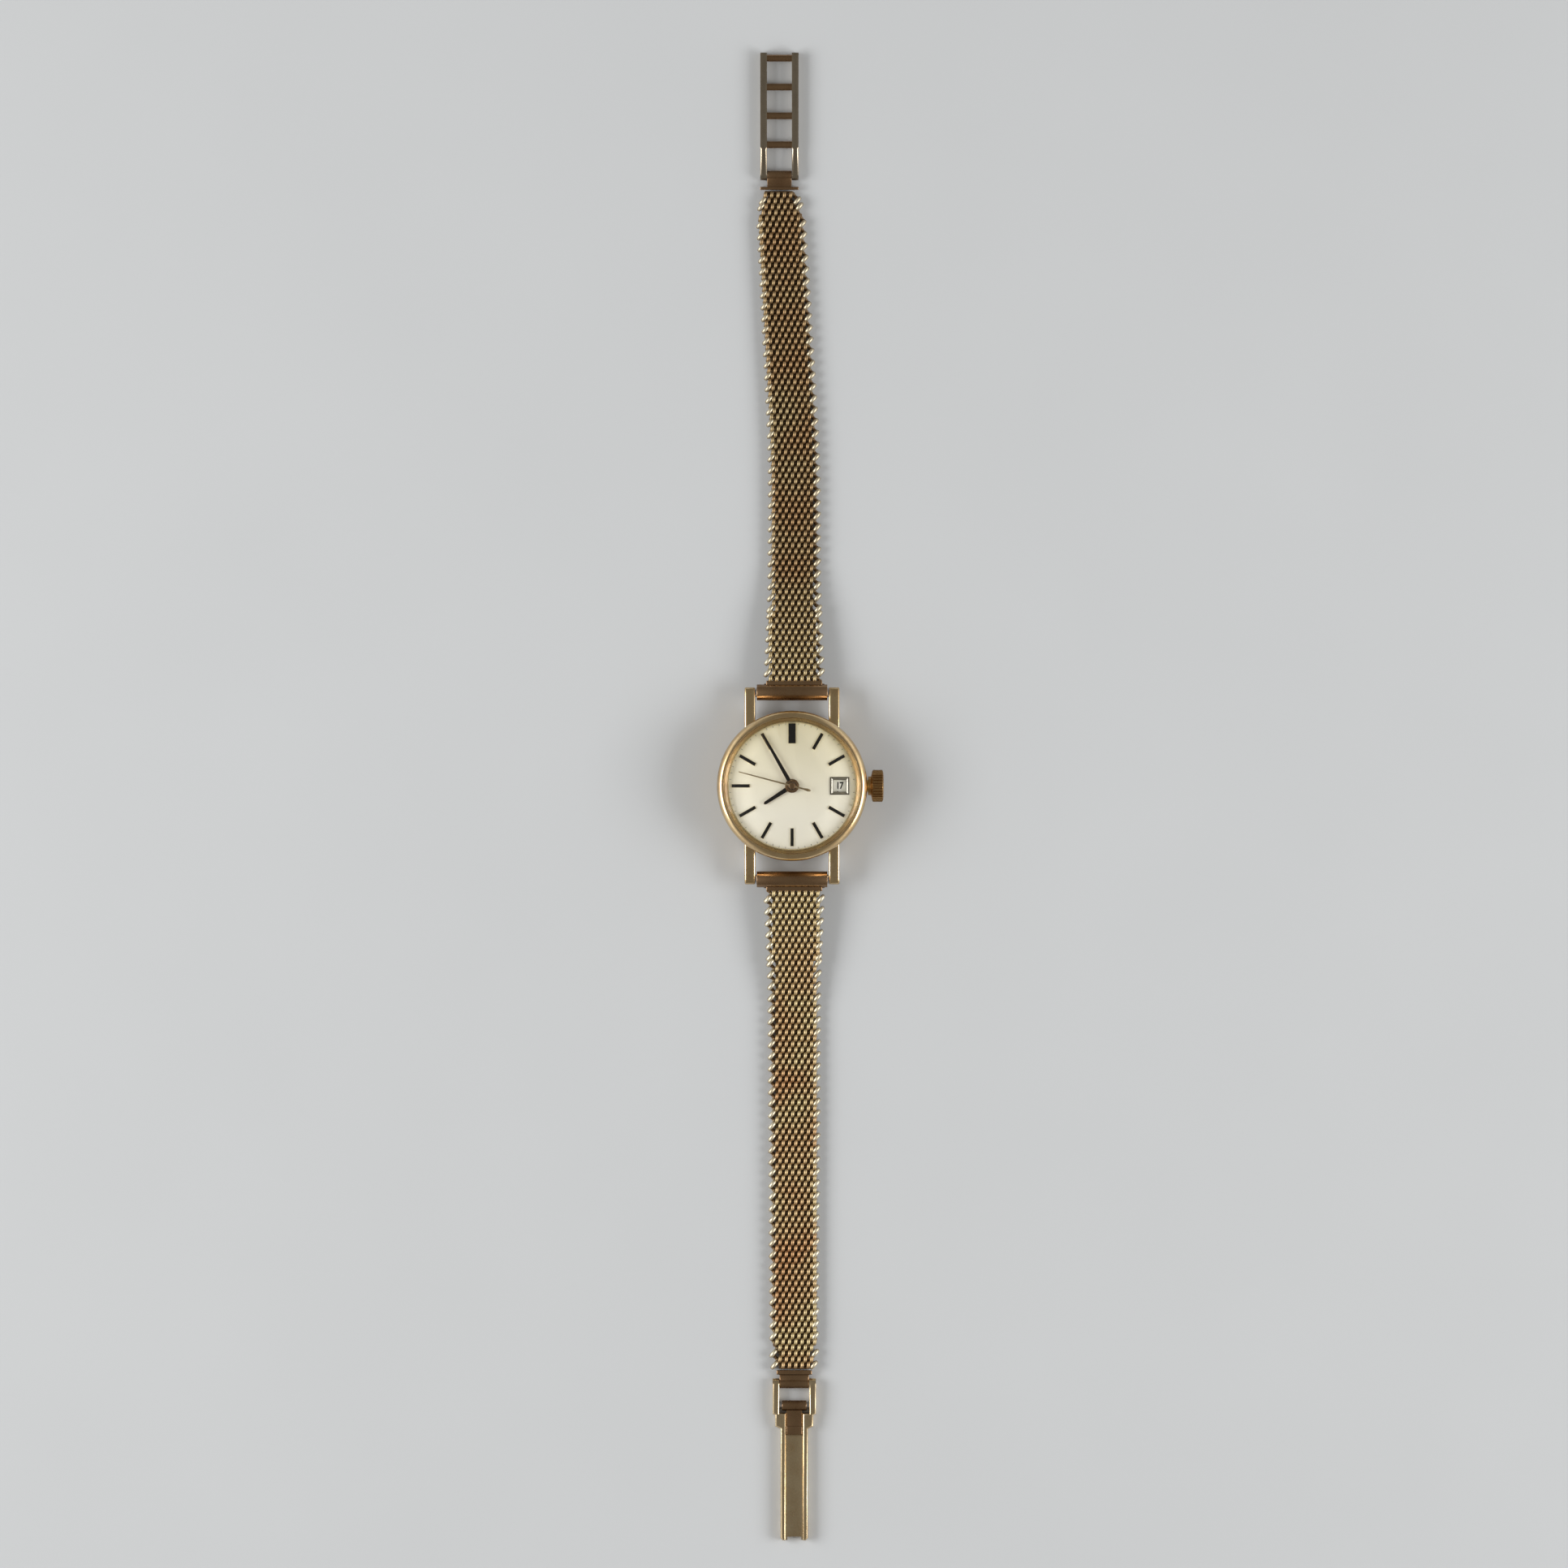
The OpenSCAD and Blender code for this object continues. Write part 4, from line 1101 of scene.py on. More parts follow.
@dataclass
class MeshBand:
    """One half of the woven band, from its first row at the case to its last."""

    side: Side
    rows: int
    pitch: float = 0.795
    bar_out: float = 12.7  # from the centre of the dial to the spring bar
    bar_z: float = 2.9
    thick: float = 1.42
    tube_r: float = 1.1  # radius of the end tube
    tongue: float = 0.1  # gap between the tube and the first row
    wide: float = 8.6  # width at the case
    middle: float = 7.7  # width after the flare
    narrow: float = 6.95  # width at the far end
    flare_rows: int = 16
    end_taper: tuple[int, float] = (3, 0.5)  # last rows, and how much each one narrows
    margin: float = 0.05  # free width beside the outermost turns
    core: float = 0.15  # radius of the wires that lock the rows
    edge_inset: float = 0.66
    edge_slant: float = -40.0
    shift: float = 0.3  # of the whole band towards the crown
    lean: float = 0.056  # sideways shift of the upper rows per millimetre outwards
    lean_start: float = 39.12
    lean_run: float = 11.925  # length over which the lean sets in
    blend_rows: int = 3  # blend_rows: int = 3 # rows before and after a section's end that are woven as a separate piece
    sections: int = 4

    @property
    def word(self) -> str:
        """The word that starts the names of its bodies and nodes."""
        return self.side.name.lower()

    @property
    def half(self) -> float:
        """Half the thickness of the mesh."""
        return self.thick / 2

    def last_of(self, section: int) -> int:
        """Gives the last row of a section, counted from 1."""
        return math.floor(section * self.rows / self.sections + 0.5) - 1

    def row(self, number: float) -> Row:
        """Works out where a row lies.

        Args:
            number: The row, counted from 0 at the case. Part rows are allowed.

        Returns:
            The row.
        """
        sign = self.side.value
        bend = self.last_of(1)
        first = self.tube_r + self.tongue + self.half
        run = first + self.pitch * bend
        slope = math.asin((self.bar_z - self.half) / run)
        if number <= bend:
            reach, tilt = first + self.pitch * number, slope
            out = self.bar_out + reach * math.cos(slope)
            up = self.bar_z - reach * math.sin(slope)
        else:
            out = self.bar_out + run * math.cos(slope) + self.pitch * (number - bend)
            up, tilt = self.half, 0.0
        sideways = self.shift
        if self.side is Side.UPPER and out > self.lean_start:
            part = min(out - self.lean_start, self.lean_run)
            rest = max(0.0, out - self.lean_start - self.lean_run)
            sideways -= self.lean * (part**2 / (2 * self.lean_run) + rest)
        turn = Matrix.Rotation(0 if sign > 0 else math.pi, 3, "Z") @ Matrix.Rotation(-tilt, 3, "X")
        left = self.rows - 1 - number
        taper = max(0.0, self.end_taper[0] - left) * self.end_taper[1]
        width = self.middle + (self.narrow - self.middle) * number / (self.rows - 1) - taper
        width += (self.wide - self.middle) * max(0.0, 1 - number / self.flare_rows)
        return Row(Vector((sideways, sign * out, up)), turn, width)

    def columns(self, number: int, width: float) -> int:
        """Counts the turns in a row: even in even rows and odd in odd rows."""
        fits = int((width - 2 * self.margin) / COIL.advance)
        return fits if fits % 2 == number % 2 else fits - 1

    def is_long(self, number: int) -> bool:
        """Tells whether a row ends in the slanted turns that make the edge."""
        row = self.row(number)
        taken = self.columns(number, row.width) * COIL.advance
        return (row.width - taken) / 2 < self.margin + COIL.advance / 2

    def kept(self, number: int) -> int:
        """Counts the upright turns of a row: a long row gives its outer two to the edge."""
        count = self.columns(number, self.row(number).width)
        return count - 2 if self.is_long(number) else count

    def turns(self, rows: Iterable[int]) -> Spots:
        """Places a coil turn at every column of some rows."""
        made = []
        for number in rows:
            row, count = self.row(number), self.kept(number)
            for j in range(count):
                across = (j - (count - 1) / 2) * COIL.advance
                made.append((row.at(across), row.axes.to_euler()))
        return made

    def edge_loops(self, rows: Iterable[int]) -> Spots:
        """Places a slanted turn at both ends of each long row."""
        slant = Matrix.Rotation(math.radians(self.edge_slant), 3, "Z")
        made = []
        for row in (self.row(number) for number in rows if self.is_long(number)):
            for hand in (-1, 1):
                across = hand * (row.width / 2 - self.edge_inset)
                made.append((row.at(across), (row.axes @ slant).to_euler()))
        return made

    def cross_wires(self, name: str, rows: Iterable[int]) -> bpy.types.Object:
        """Makes the straight wires that lock each row to the next one.

        Args:
            name: The piece's name.
            rows: The rows that they follow.

        Returns:
            The piece.
        """
        form = bmesh.new()
        for number in rows:
            row = self.row(number + 0.5)
            turns = min(self.kept(number), self.kept(number + 1))
            bmesh.ops.create_cone(
                form,
                cap_ends=True,
                segments=6,
                radius1=self.core,
                radius2=self.core,
                depth=turns * COIL.advance - 2 * self.margin,
                matrix=row.matrix() @ Matrix.Rotation(QUARTER_TURN, 4, "Y"),
            )
        return finish_mesh(name, form, [CORE])

    def weave(self, name: str, rows: list[int], tool: WireTurns) -> bpy.types.Object:
        """Weaves some rows as one piece.

        Args:
            name: The piece's name.
            rows: The rows.
            tool: The tree that bends the wire.

        Returns:
            The piece.
        """
        coils = tool.grow(f"{name}_coils", self.turns(rows), COIL.values(self.half), WEAVE)
        loops = tool.grow(f"{name}_loops", self.edge_loops(rows), EDGE.values(self.half), EDGE_WIRE)
        return joined(name, [coils, loops, self.cross_wires(f"{name}_wires", rows)])

    def lip(self) -> None:
        """Closes the first row with the folded lip of the end tube."""
        form, row = bmesh.new(), self.row(0)
        inset, gap, rise, edge = 0.5, 0.25, 0.42, 0.1
        half = row.width / 2 - inset
        near, far = -self.half - self.tongue - gap, -COIL.half_length
        outline = [(-half, near), (half, near), (half, far), (-half, far)]
        prism(form, outline, -rise, rise, row.matrix(), edge=edge, segments=3)
        # the lip takes the darker gold as painted shadow between the tube and the first row
        piece = finish_mesh(f"{self.word}_tube_lip", form, [SHADED_GOLD])
        put(piece, f"{self.word}_link_1", "gold_plate")

    def build(self, tool: WireTurns) -> None:
        """Weaves the whole half: pieces that ride on a section, and the rows between two sections
        as pieces of their own that ride on no body.

        Args:
            tool: The tree that bends the wire.
        """
        self.lip()
        start = 0
        for section in range(1, self.sections + 1):
            link, mesh = f"{self.word}_link_{section}", f"{self.word}_mesh_{section}"
            end = self.last_of(section)
            last = end if section == self.sections else end - self.blend_rows
            name = f"{self.word}_weave_{section}"
            put(self.weave(name, list(range(start, last + 1)), tool), link, "gold_mesh", mesh)
            if section == self.sections:
                break
            start = end + self.blend_rows + 1
            rows = list(range(last + 1, start))
            bend = self.weave(f"{self.word}_weave_bend_{section}", rows, tool)
            here = self.row(last + 0.6).place
            there = self.row(end + self.blend_rows + 0.4).place
            tuple(here * MM)
            tuple(there * MM)
            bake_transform(bend)


# The head


def arc(centre: Point, radii: Point, angles: Iterable[int]) -> list[Point]:
    """Gives points on a part of an ellipse."""
    turns = [math.radians(angle) for angle in angles]
    return [
        (centre[0] + radii[0] * math.cos(turn), centre[1] + radii[1] * math.sin(turn))
        for turn in turns
    ]


def sag(reach: float, ball: float) -> float:
    """How far a dome of a radius has dropped at a distance from its centre."""
    return ball - math.sqrt(ball**2 - reach**2)


@dataclass
class WatchCase:
    """The case middle with its lugs, the bezel, the crystal, its ring and the back."""

    radius: float = 10.2
    bezel_width: float = 1.03
    bore: float = 9.0
    foot: float = 0.75
    shoulder: float = 5.6
    rim: float = 5.85
    lug_gap: float = 10.0
    lug_width: float = 1.45
    lug_tip: float = 0.7
    bar_out: float = 12.7
    bar_z: float = 2.9
    clear: float = 0.02  # gap where two pieces meet
    wall: float = 0.38
    dome: float = 29.6  # radius of the crystal's ball
    thick: float = 0.9  # of the crystal
    rise: float = 3.2  # of the crystal's top over the shoulder

    def middle(self) -> bpy.types.Object:
        """Turns the case middle and adds the four lugs."""
        form = bmesh.new()
        r, ledge, neck = self.radius, 0.25, 0.58
        outline = [
            (self.bore + ledge, self.foot),  # underside
            (r - 0.6, self.foot),
            (r - 0.15, self.foot + 0.7),  # flank, drawn in below
            (r, self.foot + 1.4),
            (r, self.shoulder - 0.9),
            (r - 0.12, self.shoulder),  # shoulder under the bezel
            (r - neck, self.shoulder),
            (r - neck, self.rim),  # neck inside the bezel
            (self.bore, self.rim),  # bore for the movement
            (self.bore, self.foot + ledge),
            (self.bore + ledge, self.foot + ledge),  # step for the back
        ]
        lathe(form, rounded(outline, radius=0.12))
        overlap = 0.2
        root = math.sqrt(self.bore**2 - (self.lug_gap / 2) ** 2) + overlap
        tip = arc((self.bar_out, self.bar_z), (self.lug_tip, self.lug_tip), range(-90, 91, 15))
        outline = [(root, self.foot + 0.5), *tip, (root, self.shoulder - 1.0)]
        half = self.lug_width / 2
        stand = Matrix(((0, 0, 1, 0), (1, 0, 0, 0), (0, 1, 0, 0), (0, 0, 0, 1)))
        for spin in (Matrix.Rotation(math.pi, 4, "Z"), Matrix.Rotation(0, 4, "Z")):
            for hand in (-1, 1):
                shift = Matrix.Translation((hand * (self.lug_gap + self.lug_width) / 2, 0, 0))
                place = spin @ shift @ stand
                prism(form, outline, -half, half, place, edge=0.2, segments=3)
        return finish_mesh("case_body", form, [GOLD_CASE])

    def bezel(self) -> bpy.types.Object:
        """Turns the bezel with its rounded outer slope."""
        low, high, seat = self.shoulder + self.clear, self.shoulder + 1.4, 0.3
        inner = self.radius - self.bezel_width + self.clear
        width = self.radius - inner - 0.18
        slope = arc(
            (self.radius - width, low + seat), (width, high - low - seat), range(6, 88, 6)
        )
        step = inner + 0.43
        outline = [
            (step, low),  # seat on the shoulder
            (self.radius - 0.06, low),
            (self.radius, low + 0.12),  # outer wall
            (self.radius, low + seat),
            *slope,
            (inner + 0.18, high),  # rim round the crystal
            (inner + 0.05, high - 0.05),
            (inner, high - 0.16),
            (inner, self.rim + self.clear),  # step over the neck
            (step, self.rim + self.clear),
        ]
        return turned("bezel_ring", outline, steps=200, finish=GOLD_CASE)

    def crystal(self) -> bpy.types.Object:
        """Turns the domed crystal, with a polished edge above the bezel."""
        outer, top = self.radius - self.bezel_width, self.shoulder + self.rise
        inner, foot = outer - self.wall, self.rim + self.clear
        rings = 24
        reaches = [outer * k / rings for k in range(rings)]
        over = [(reach, top - sag(reach, self.dome)) for reach in reaches]
        edge = top - sag(outer, self.dome)
        over += [(outer - 0.1, edge + 0.01), (outer - 0.03, edge - 0.04), (outer, edge - 0.13)]
        ball, rings = self.dome - self.thick, 20
        reaches = [inner * k / rings for k in range(rings, -1, -1)]
        under = [(reach, top - self.thick - sag(reach, ball)) for reach in reaches]
        wall = [(outer, foot + 0.5), (outer, foot + 0.2), (inner, foot)]
        form = bmesh.new()
        lathe(form, [*over, *wall, *under], steps=160)
        for face in form.faces:
            if all(v.co.xy.length > inner - 0.01 and v.co.z < foot + 0.7 for v in face.verts):
                face.material_index = 1
            elif face.normal.z < -0.5 and all(v.co.z > foot + 0.1 for v in face.verts):
                face.material_index = 2
        return finish_mesh("crystal_dome", form, [CRYSTAL, RING_GOLD, CRYSTAL_INSIDE])

    def inner_ring(self) -> bpy.types.Object:
        """Turns the sloping ring between the dial and the crystal."""
        outer = self.radius - self.bezel_width - self.wall - self.clear
        low = self.rim + self.clear
        high = low + 0.55
        outline = [(outer - 0.2, low), (outer, low), (outer, high), (outer - 0.12, high)]
        outline = rounded(outline, radius=0.04, steps=2)
        return turned("inner_ring", outline, steps=160, finish=PALE_GOLD)

    def back(self) -> bpy.types.Object:
        """Turns the snap-on case back."""
        lip, rim, under = self.bore - 0.07, self.bore + 0.35, self.foot - self.clear
        high, inside = self.foot + 0.45, self.foot + 0.05
        outline = [
            (0, 0),  # flat that the watch lies on
            (7, 0),
            (self.bore, 0.3),
            (rim, self.foot - 0.15),  # rim
            (rim, under),
            (lip, under),  # lip inside the case
            (lip, high),
            (lip - self.wall, high),
            (lip - self.wall, inside),
            (0, inside),
        ]
        outline = rounded(outline, radius=0.08)
        return turned("back_cover", outline, steps=160, finish=BACK_STEEL)

    def build(self, frame: dict) -> None:
        """Makes the pieces of the case and puts them on its body.

        Args:
            frame: The loaded frame.
        """
        put(self.middle(), "case", "gold_plate", "case_middle")
        put(self.bezel(), "case", "gold_plate", "bezel")
        put(self.crystal(), "case", "crystal", "crystal")
        put(self.inner_ring(), "case", "gold_plate", "tension_ring")
        put(self.back(), "case", "steel", "case_back")
        for word in ("upper", "lower"):
            node = f"{word}_end_tube"
            tube = softened(frame, node, SHADED_GOLD, width=0.06)
            put(tube, f"{word}_link_1", "gold_plate", node)
            dress(frame, f"{word}_spring_bar", STEEL)


@dataclass
class Crown:
    """The winding crown: a fluted drum on a narrow neck."""

    start: float = 10.32
    centre_z: float = 3.7
    radius: float = 2.2
    neck: float = 0.4
    cone: float = 0.15
    band: float = 1.45
    flutes: int = 30
    flute_high: float = 0.17
    flute_wide: float = 0.3
    sunk: float = 0.03

    def drum(self, radius: float) -> bpy.types.Object:
        """Turns the drum.

        Args:
            radius: Its radius under the flutes.

        Returns:
            The drum.
        """
        band_start = self.neck + self.cone
        band_end = band_start + self.band
        stem, collar, floor = 0.88, 1.29, 0.5
        outline = [
            (stem, 0),
            (collar, 0),  # neck
            (collar, self.neck),
            (radius - 0.02, band_start),  # cone
            (radius, band_start + 0.08),  # drum
            (radius, band_end),
            (radius - 0.1, band_end + 0.07),
            (radius - 0.5, band_end + 0.12),  # end face
            (0, band_end + 0.14),
            (0, floor),  # bore for the stem
            (stem, floor),
        ]
        form = bmesh.new()
        lathe(form, rounded(outline, radius=0.07), steps=96)
        place = Matrix.Translation((self.start, 0, self.centre_z))
        lay = place @ Matrix.Rotation(QUARTER_TURN, 4, "Y")
        bmesh.ops.transform(form, matrix=lay, verts=form.verts)
        return finish_mesh("crown_body", form, [CROWN_GOLD])

    def build(self, bars: RoundBars) -> None:
        """Turns the crown, sets its flutes and puts both on the crown's body.

        Args:
            bars: The tree that makes the flutes.
        """
        radius = self.radius - self.flute_high
        drum = self.drum(radius)
        middle = self.start + self.neck + self.cone + self.band / 2 + 0.02
        spots = []
        for k in range(self.flutes):
            spin = Matrix.Rotation(FULL_TURN * k / self.flutes, 4, "X")
            foot = spin @ Vector((0, 0, radius - self.sunk))
            place = foot + Vector((middle, 0, self.centre_z))
            spots.append((place, spin.to_euler()))
        size = (self.band - 0.02, self.flute_wide, self.flute_high + 0.01)
        flutes = bars.bars("crown_flutes", spots, size, share=0.45, finish=CROWN_GOLD)
        put(joined("crown_knob", [drum, flutes], sharp=35), "crown", "gold_plate", "crown")


@dataclass
class DialFace:
    """The dial with its marks, the date window and the date ring's numbers."""

    top: float = 5.8
    mark_out: float = 8.2
    mark_long: float = 2.45
    mark_wide: float = 0.45
    mark_high: float = 0.17
    cap_high: float = 0.03
    minute_out: float = 8.42
    minute_size: Triple = (0.22, 0.05, 0.006)
    date_x: float = 6.46
    window: Point = (1.7, 1.6)
    shown_day: int = 17
    days: int = 31

    def spots(self, hours: Iterable[float], reach: float, height: float) -> Spots:
        """Places marks round the dial, with their length along the radius.

        Args:
            hours: Where they go, in hours.
            reach: The distance of their middles from the centre.
            height: The height of their feet.

        Returns:
            Place and turn of each.
        """
        made = []
        for hour in hours:
            turn = math.radians(90 - 30 * hour)
            place = Vector((reach * math.cos(turn), reach * math.sin(turn), height))
            made.append((place, Euler((0, 0, turn))))
        return made

    def marks(self, bars: RoundBars) -> bpy.types.Object:
        """Makes the eleven applied hour marks with their black tops."""
        hours = [hour for hour in range(1, 12) if hour != 3]
        parts = []
        for name, where, wide, long, out in (
            ("small", hours, self.mark_wide, self.mark_long, self.mark_out),
            ("twelve", [12], 1.0, self.mark_long + 0.3, self.mark_out + 0.3),
        ):
            feet = self.spots(where, out - long / 2, self.top)
            caps = self.spots(where, out - long / 2, self.top + self.mark_high - self.cap_high / 2)
            size = (long, wide, self.mark_high)
            parts.append(bars.bars(f"marks_{name}", feet, size, share=0.96, finish=PALE_GOLD))
            size = (long - 0.04, wide - 0.02, self.cap_high)
            parts.append(bars.bars(f"tops_{name}", caps, size, share=0.97, finish=INK))
        return joined("hour_marks", parts, sharp=30)

    def minute_track(self, bars: RoundBars) -> bpy.types.Object:
        """Prints the fine minute marks at the edge of the dial."""
        spots = self.spots((m / 5 for m in range(60) if m % 5), self.minute_out, self.top)
        return bars.bars("minute_track", spots, self.minute_size, share=0.98, finish=INK)

    def window_frame(self) -> bpy.types.Object:
        """Makes the frame of the date window with a sloping inner face."""
        wide, high = self.window[0] / 2, self.window[1] / 2
        steps = [
            (1.3, 1.2, 0.0),
            (1.3, 1.2, 0.13),
            (1.25, 1.15, 0.16),
            (wide + 0.28, high + 0.24, 0.16),
            (wide + 0.08, high + 0.08, 0.06),
            (wide, high, 0.02),
            (wide, high, 0.0),
        ]
        silver, edge = 0, 1
        numbers = [edge, edge, edge, silver, edge, edge, edge]
        ways = ((-1, -1), (1, -1), (1, 1), (-1, 1))
        rings = [
            [Vector((self.date_x + right * x, up * y, self.top + z)) for right, up in ways]
            for x, y, z in steps
        ]
        form = bmesh.new()
        skin(form, rings, numbers)
        return finish_mesh("date_frame", form, [SILVER, FRAME_EDGE], sharp=20)

    def numbers(self, ring_top: float) -> bpy.types.Object:
        """Prints the numbers 1 to 31 on the date ring, the shown one at the window.

        Args:
            ring_top: The height of the ring's upper face.

        Returns:
            The numbers as one piece.
        """
        size, ink, bolder, narrower = 1.3, 0.006, 0.035, 0.82
        place = Matrix.Translation((self.date_x * MM, 0, (ring_top + ink) * MM))
        squeeze = Matrix.Diagonal((narrower, 1.0, 1.0, 1.0))
        parts = []
        for day in range(1, self.days + 1):
            words = bpy.data.curves.new(f"day_{day}", "FONT")
            words.body = str(day)
            words.size, words.extrude, words.offset = size * MM, ink * MM, bolder * MM
            words.align_x, words.align_y = "CENTER", "CENTER"
            words.resolution_u = 3
            words.space_character = 0.9
            mesh = evaluated(linked(f"day_{day}", words))
            turn = Matrix.Rotation(FULL_TURN * (self.shown_day - day) / self.days, 4, "Z")
            mesh.transform(turn @ place @ squeeze)
            mesh.materials.clear()
            mesh.materials.append(INK.material())
            parts.append(linked(f"day_{day}", mesh))
        return joined("date_numbers", parts, sharp=30)

    def build(self, frame: dict, bars: RoundBars) -> None:
        """Makes the dial's pieces.

        Args:
            frame: The loaded frame.
            bars: The tree that makes the marks.
        """
        dial = softened(frame, "dial", DIAL, width=0.03, segments=1)
        put(dial, "case", "dial_silver", "dial")
        put(self.marks(bars), "case", "gold_plate", "hour_markers")
        put(self.minute_track(bars), "case", "gasket")
        put(self.window_frame(), "case", "gold_plate", "date_window_frame")
        dress(frame, "date_ring", DATE_WHITE)
        put(self.numbers(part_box("date_ring")[1].z / MM), "date", "gasket")


@dataclass(frozen=True)
class Baton:
    """An hour or minute hand: a gold baton with a black inlay and a hub."""

    body: str
    turn: float
    long: float
    root: float
    tip: float
    hub: float
    bore: float

    def outline(self, inset: float, narrower: float, start: float) -> list[Point]:
        """Gives the outline of a tapered baton that points along +Y.

        Args:
            inset: How much shorter and narrower at the root it is than the hand.
            narrower: How much narrower it is at the tip.
            start: Where it starts.

        Returns:
            The outline's corners.
        """
        long, root, tip = self.long - inset, self.root - inset, self.tip - narrower
        point = 0.6
        bend = long - tip * point
        return [
            (-root / 2, start),
            (root / 2, start),
            (tip / 2, bend),
            (0, long),
            (-tip / 2, bend),
        ]

    def build(self) -> None:
        """Makes the hand, turned to its time, and puts it on its body."""
        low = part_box(f"{self.body}_hand")[0].z / MM
        face, top = low + 0.09, low + 0.1
        form = bmesh.new()
        place = Matrix.Rotation(math.radians(-self.turn), 4, "Z")
        baton = self.outline(inset=0, narrower=0, start=self.hub - 0.14)
        prism(form, baton, low, face, place, edge=0.02)
        inlay = self.outline(inset=0.05, narrower=0.045, start=self.hub + 0.02)
        prism(form, inlay, low + 0.05, top, place, number=1)
        ring = [(self.bore, low), (self.hub, low), (self.hub, top), (self.bore, top)]
        lathe(form, rounded(ring, radius=0.04, steps=2), steps=48)
        hand = finish_mesh(f"{self.body}_baton", form, [SHADED_GOLD, INK], sharp=30)
        put(hand, self.body, "gold_plate", f"{self.body}_hand")


@dataclass
class Hands:
    """The three hands, turned to the time of the photograph."""

    batons: tuple[Baton, ...] = (
        Baton("hour", turn=237.3, long=4.6, root=0.62, tip=0.42, hub=0.95, bore=0.7),
        Baton("minute", turn=330.4, long=8.1, root=0.56, tip=0.32, hub=0.78, bore=0.52),
    )
    seconds_turn: float = 284.8
    needle: tuple[Point, ...] = ((-0.12, 0), (0.12, 0), (0.07, 7.5), (-0.07, 7.5))
    tail: tuple[Point, ...] = (
        (0.11, 0),
        (-0.11, 0),
        (-0.1, -1.5),
        (-0.2, -2.2),
        (-0.1, -2.6),
        (0.1, -2.6),
        (0.2, -2.2),
        (0.1, -1.5),
    )
    hub: tuple[Point, ...] = (
        (0, -0.1),
        (0.3, -0.1),
        (0.3, 0),
        (0.48, 0),
        (0.46, 0.06),
        (0.3, 0.11),
        (0, 0.13),
    )

    def seconds(self) -> None:
        """Makes the thin seconds hand with its flared tail and domed hub."""
        pipe, thick = 0.12, 0.06
        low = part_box("seconds_hand")[0].z / MM + pipe
        form = bmesh.new()
        place = Matrix.Rotation(math.radians(-self.seconds_turn), 4, "Z")
        for outline in (self.needle, self.tail):
            prism(form, outline, low, low + thick, place, edge=0.015)
        hub = [(radius, low + height) for radius, height in self.hub]
        lathe(form, hub, steps=48, number=1)
        hand = finish_mesh("seconds_needle", form, [GOLD, SHADED_GOLD], sharp=30)
        put(hand, "seconds", "gold_plate", "seconds_hand")

    def build(self) -> None:
        """Makes the hands."""
        for baton in self.batons:
            baton.build()
        self.seconds()


# Band ends, movement and studio


@dataclass(frozen=True)
class EndPiece:
    """A CAD piece at an end of the band, whose edges are rounded."""

    node: str
    body: str
    finish: Finish = SHADED_GOLD
    crown: float = 0.0
    reach: float = 0.0


@dataclass
class BandEnds:
    """The ladder at the upper end and the folding clasp at the lower end."""

    pieces: tuple[EndPiece, ...] = (
        EndPiece("ladder_end_plate", "upper_link_4"),
        EndPiece("ladder_rails", "ladder", GREY_REFLECTION_GOLD, crown=0.3, reach=4.2),
        EndPiece("clasp_end_plate", "lower_link_4"),
        EndPiece("clasp_lever", "lever", GOLD, crown=0.26),
        EndPiece("rung_hook", "hook"),
    )
    edge: float = 0.1

    def build(self, frame: dict) -> None:
        """Rounds the edges of the CAD pieces and dresses the pins and rungs.

        Args:
            frame: The loaded frame.
        """
        for end in self.pieces:
            piece = softened(frame, end.node, end.finish, self.edge, 3, end.crown, end.reach)
            put(piece, end.body, "gold_plate", end.node)
        dress(frame, "ladder_rungs", SHADED_GOLD)
        for node in ("ladder_pin", "lever_pin", "hook_pin"):
            dress(frame, node, STEEL)


@dataclass
class Movement:
    """What is sealed inside the case."""

    steel: tuple[str, ...] = (
        "main_plate", "barrel_bridge", "train_bridge", "balance_cock", "mainspring",
        "barrel_arbor", "ratchet_wheel", "crown_wheel", "winding_pinion", "winding_stem",
        "escape_wheel", "pallet_fork", "cannon_pinion",
    )
    gilt: tuple[str, ...] = (
        "movement_ring", "crown_tube", "hour_wheel", "minute_wheel", "centre_wheel",
        "third_wheel", "fourth_wheel", "mainspring_barrel", "balance_wheel", "rotor",
    )
    blue: tuple[str, ...] = ("hairspring", "bridge_screws")
    black: tuple[str, ...] = ("case_back_gasket",)

    def build(self, frame: dict) -> None:
        """Dresses the movement's nodes.

        Args:
            frame: The loaded frame.
        """
        for nodes, finish in (
            (self.steel, STEEL),
            (self.gilt, BRASS),
            (self.blue, BLUED),
            (self.black, RUBBER),
        ):
            for node in nodes:
                dress(frame, node, finish)
            LOG.info("movement: %d pieces in %s", len(nodes), finish.name)


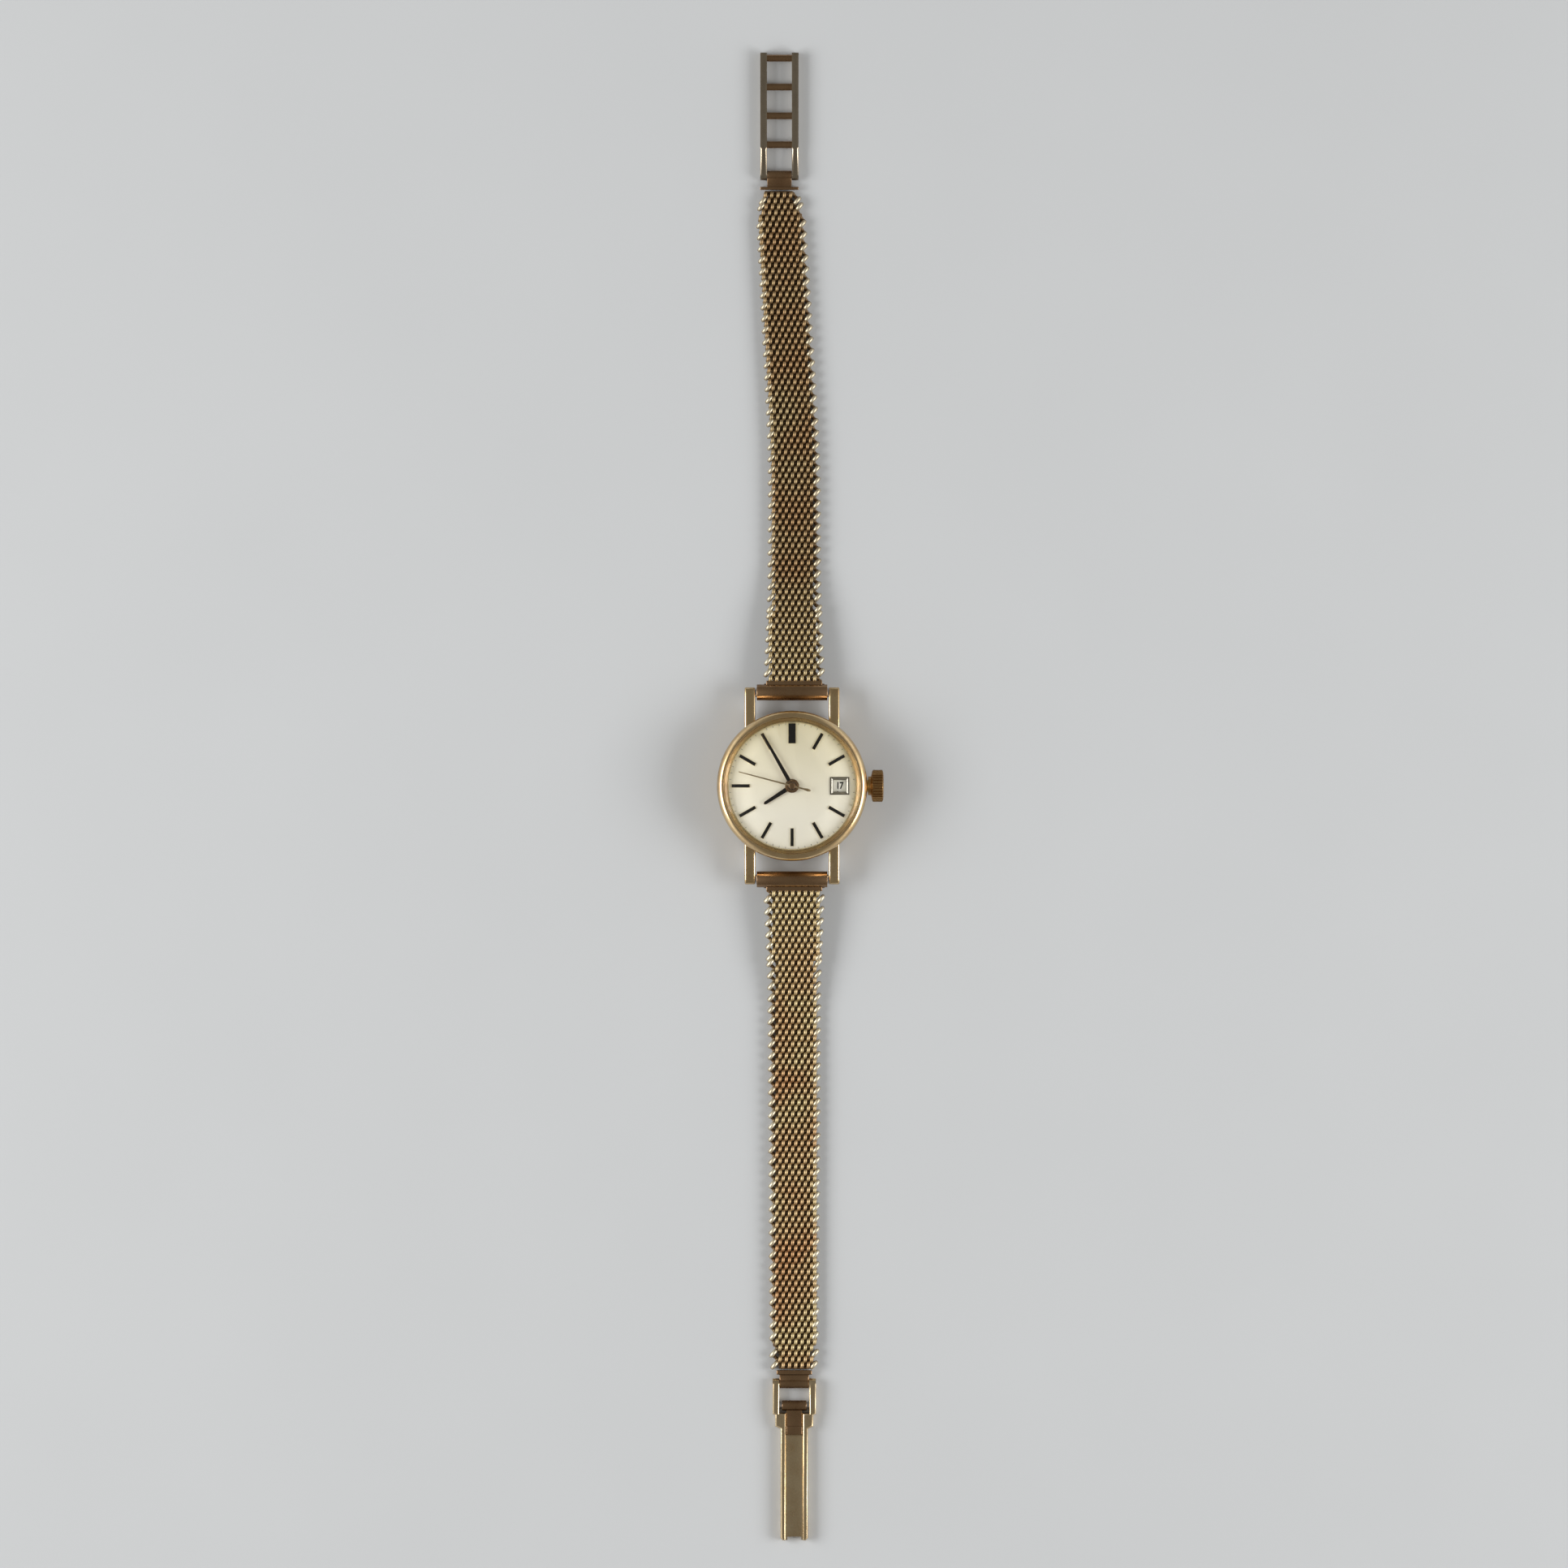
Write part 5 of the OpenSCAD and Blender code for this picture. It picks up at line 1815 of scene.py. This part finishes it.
@dataclass
class Studio:
    """The floor, the lamps, the world and the camera."""

    scale: float = 0.1106  # millimetres per pixel of the photograph
    frame_px: float = 1932.0
    axis_px: Point = (975.9, 968.3)  # where the centre of the dial stands in it
    distance: float = 1.3  # metres
    warm_white: Colour = (1.0, 0.985, 0.95)
    room: tuple[tuple[float, Colour], ...] = (
        (0.0, (0.2, 0.19, 0.17)),
        (1.0, (1.25, 1.24, 1.2)),
        (0.3, (0.23, 0.22, 0.2)),
        (0.5, (0.5, 0.49, 0.47)),
        (0.75, (1.05, 1.04, 1.02)),
    )

    def floor(self) -> None:
        """Lays the floor just under the case back."""
        form, half, drop = bmesh.new(), 2500, 0.02
        bmesh.ops.create_grid(form, x_segments=1, y_segments=1, size=half)
        bmesh.ops.translate(form, verts=form.verts, vec=(0, 0, -drop))
        finish_mesh("floor", form, [PaleFloor("pale_floor")])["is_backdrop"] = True

    def lamp(self, name: str, place: Sequence[float], size: Point, power: float) -> None:
        """Hangs a soft lamp that looks at the watch.

        Args:
            name: The lamp's name.
            place: Its place in metres.
            size: Its width and height in metres.
            power: Its power in watts.
        """
        light = bpy.data.lights.new(name, "AREA")
        light.shape, light.size, light.size_y = "RECTANGLE", size[0], size[1]
        light.energy, light.color = power, self.warm_white
        lamp = linked(name, light)
        lamp.location = place
        lamp.rotation_euler = (-Vector(place)).to_track_quat("-Z", "Y").to_euler()

    def world(self) -> None:
        """Fills the room with a light that is bright at both sides and dim above the watch."""
        room = bpy.data.worlds.new("room")
        bpy.context.scene.world = room
        room.use_nodes = True
        room.node_tree.nodes.clear()
        tree = NodeTree(room.node_tree)
        aside = abs(tree.split(tree.add("ShaderNodeTexCoord", output="Generated"))[0])
        ramp = tree.node("ShaderNodeValToRGB", {0: aside})
        stops = ramp.color_ramp.elements
        for number, (height, tone) in enumerate(self.room):
            stop = stops[number] if number < 2 else stops.new(height)
            stop.position, stop.color = height, (*tone, 1.0)
        light = tree.add("ShaderNodeBackground", {0: Wire(tree, ramp.outputs[0])})
        tree.node("ShaderNodeOutputWorld", {0: light})

    def camera(self) -> None:
        """Sets the camera straight above the photograph's middle."""
        lens = bpy.data.cameras.new("camera")
        middle = self.frame_px / 2
        lens.sensor_width = 36.0
        lens.lens = lens.sensor_width / 2 / (middle * self.scale * MM / self.distance)
        lens.clip_start, lens.clip_end = 0.01, 20.0
        eye = linked("camera", lens)
        eye.location = (
            (middle - self.axis_px[0]) * self.scale * MM,
            (self.axis_px[1] - middle) * self.scale * MM,
            self.distance,
        )
        bpy.context.scene.camera = eye

    def build(self) -> None:
        """Makes the studio."""
        self.floor()
        self.world()
        self.lamp("left_box", (-0.56, -0.02, 0.4), (0.42, 0.34), 3.3)
        self.lamp("right_box", (0.56, -0.1, 0.38), (0.38, 0.32), 2.7)
        bpy.context.scene.view_settings.view_transform = "Standard"
        self.camera()


def corners(box: Sequence[Vector]) -> list[list[float]]:
    """Turns a box into plain lists of numbers."""
    return [list(corner) for corner in box]


def main() -> None:
    """Builds the watch piece by piece, in order."""
    logging.basicConfig(level=logging.INFO, format="%(message)s")
    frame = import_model()
    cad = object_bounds()
    turns, bars = WireTurns(), RoundBars()
    WatchCase().build(frame)
    Crown().build(bars)
    DialFace().build(frame, bars)
    Hands().build()
    MeshBand(Side.UPPER, 84).build(turns)
    MeshBand(Side.LOWER, 82, end_taper=(1, 0.3)).build(turns)
    BandEnds().build(frame)
    Movement().build(frame)
    Studio().build()
    {"cad": corners(cad), "visual": corners(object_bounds())}


if __name__ == "__main__":
    main()
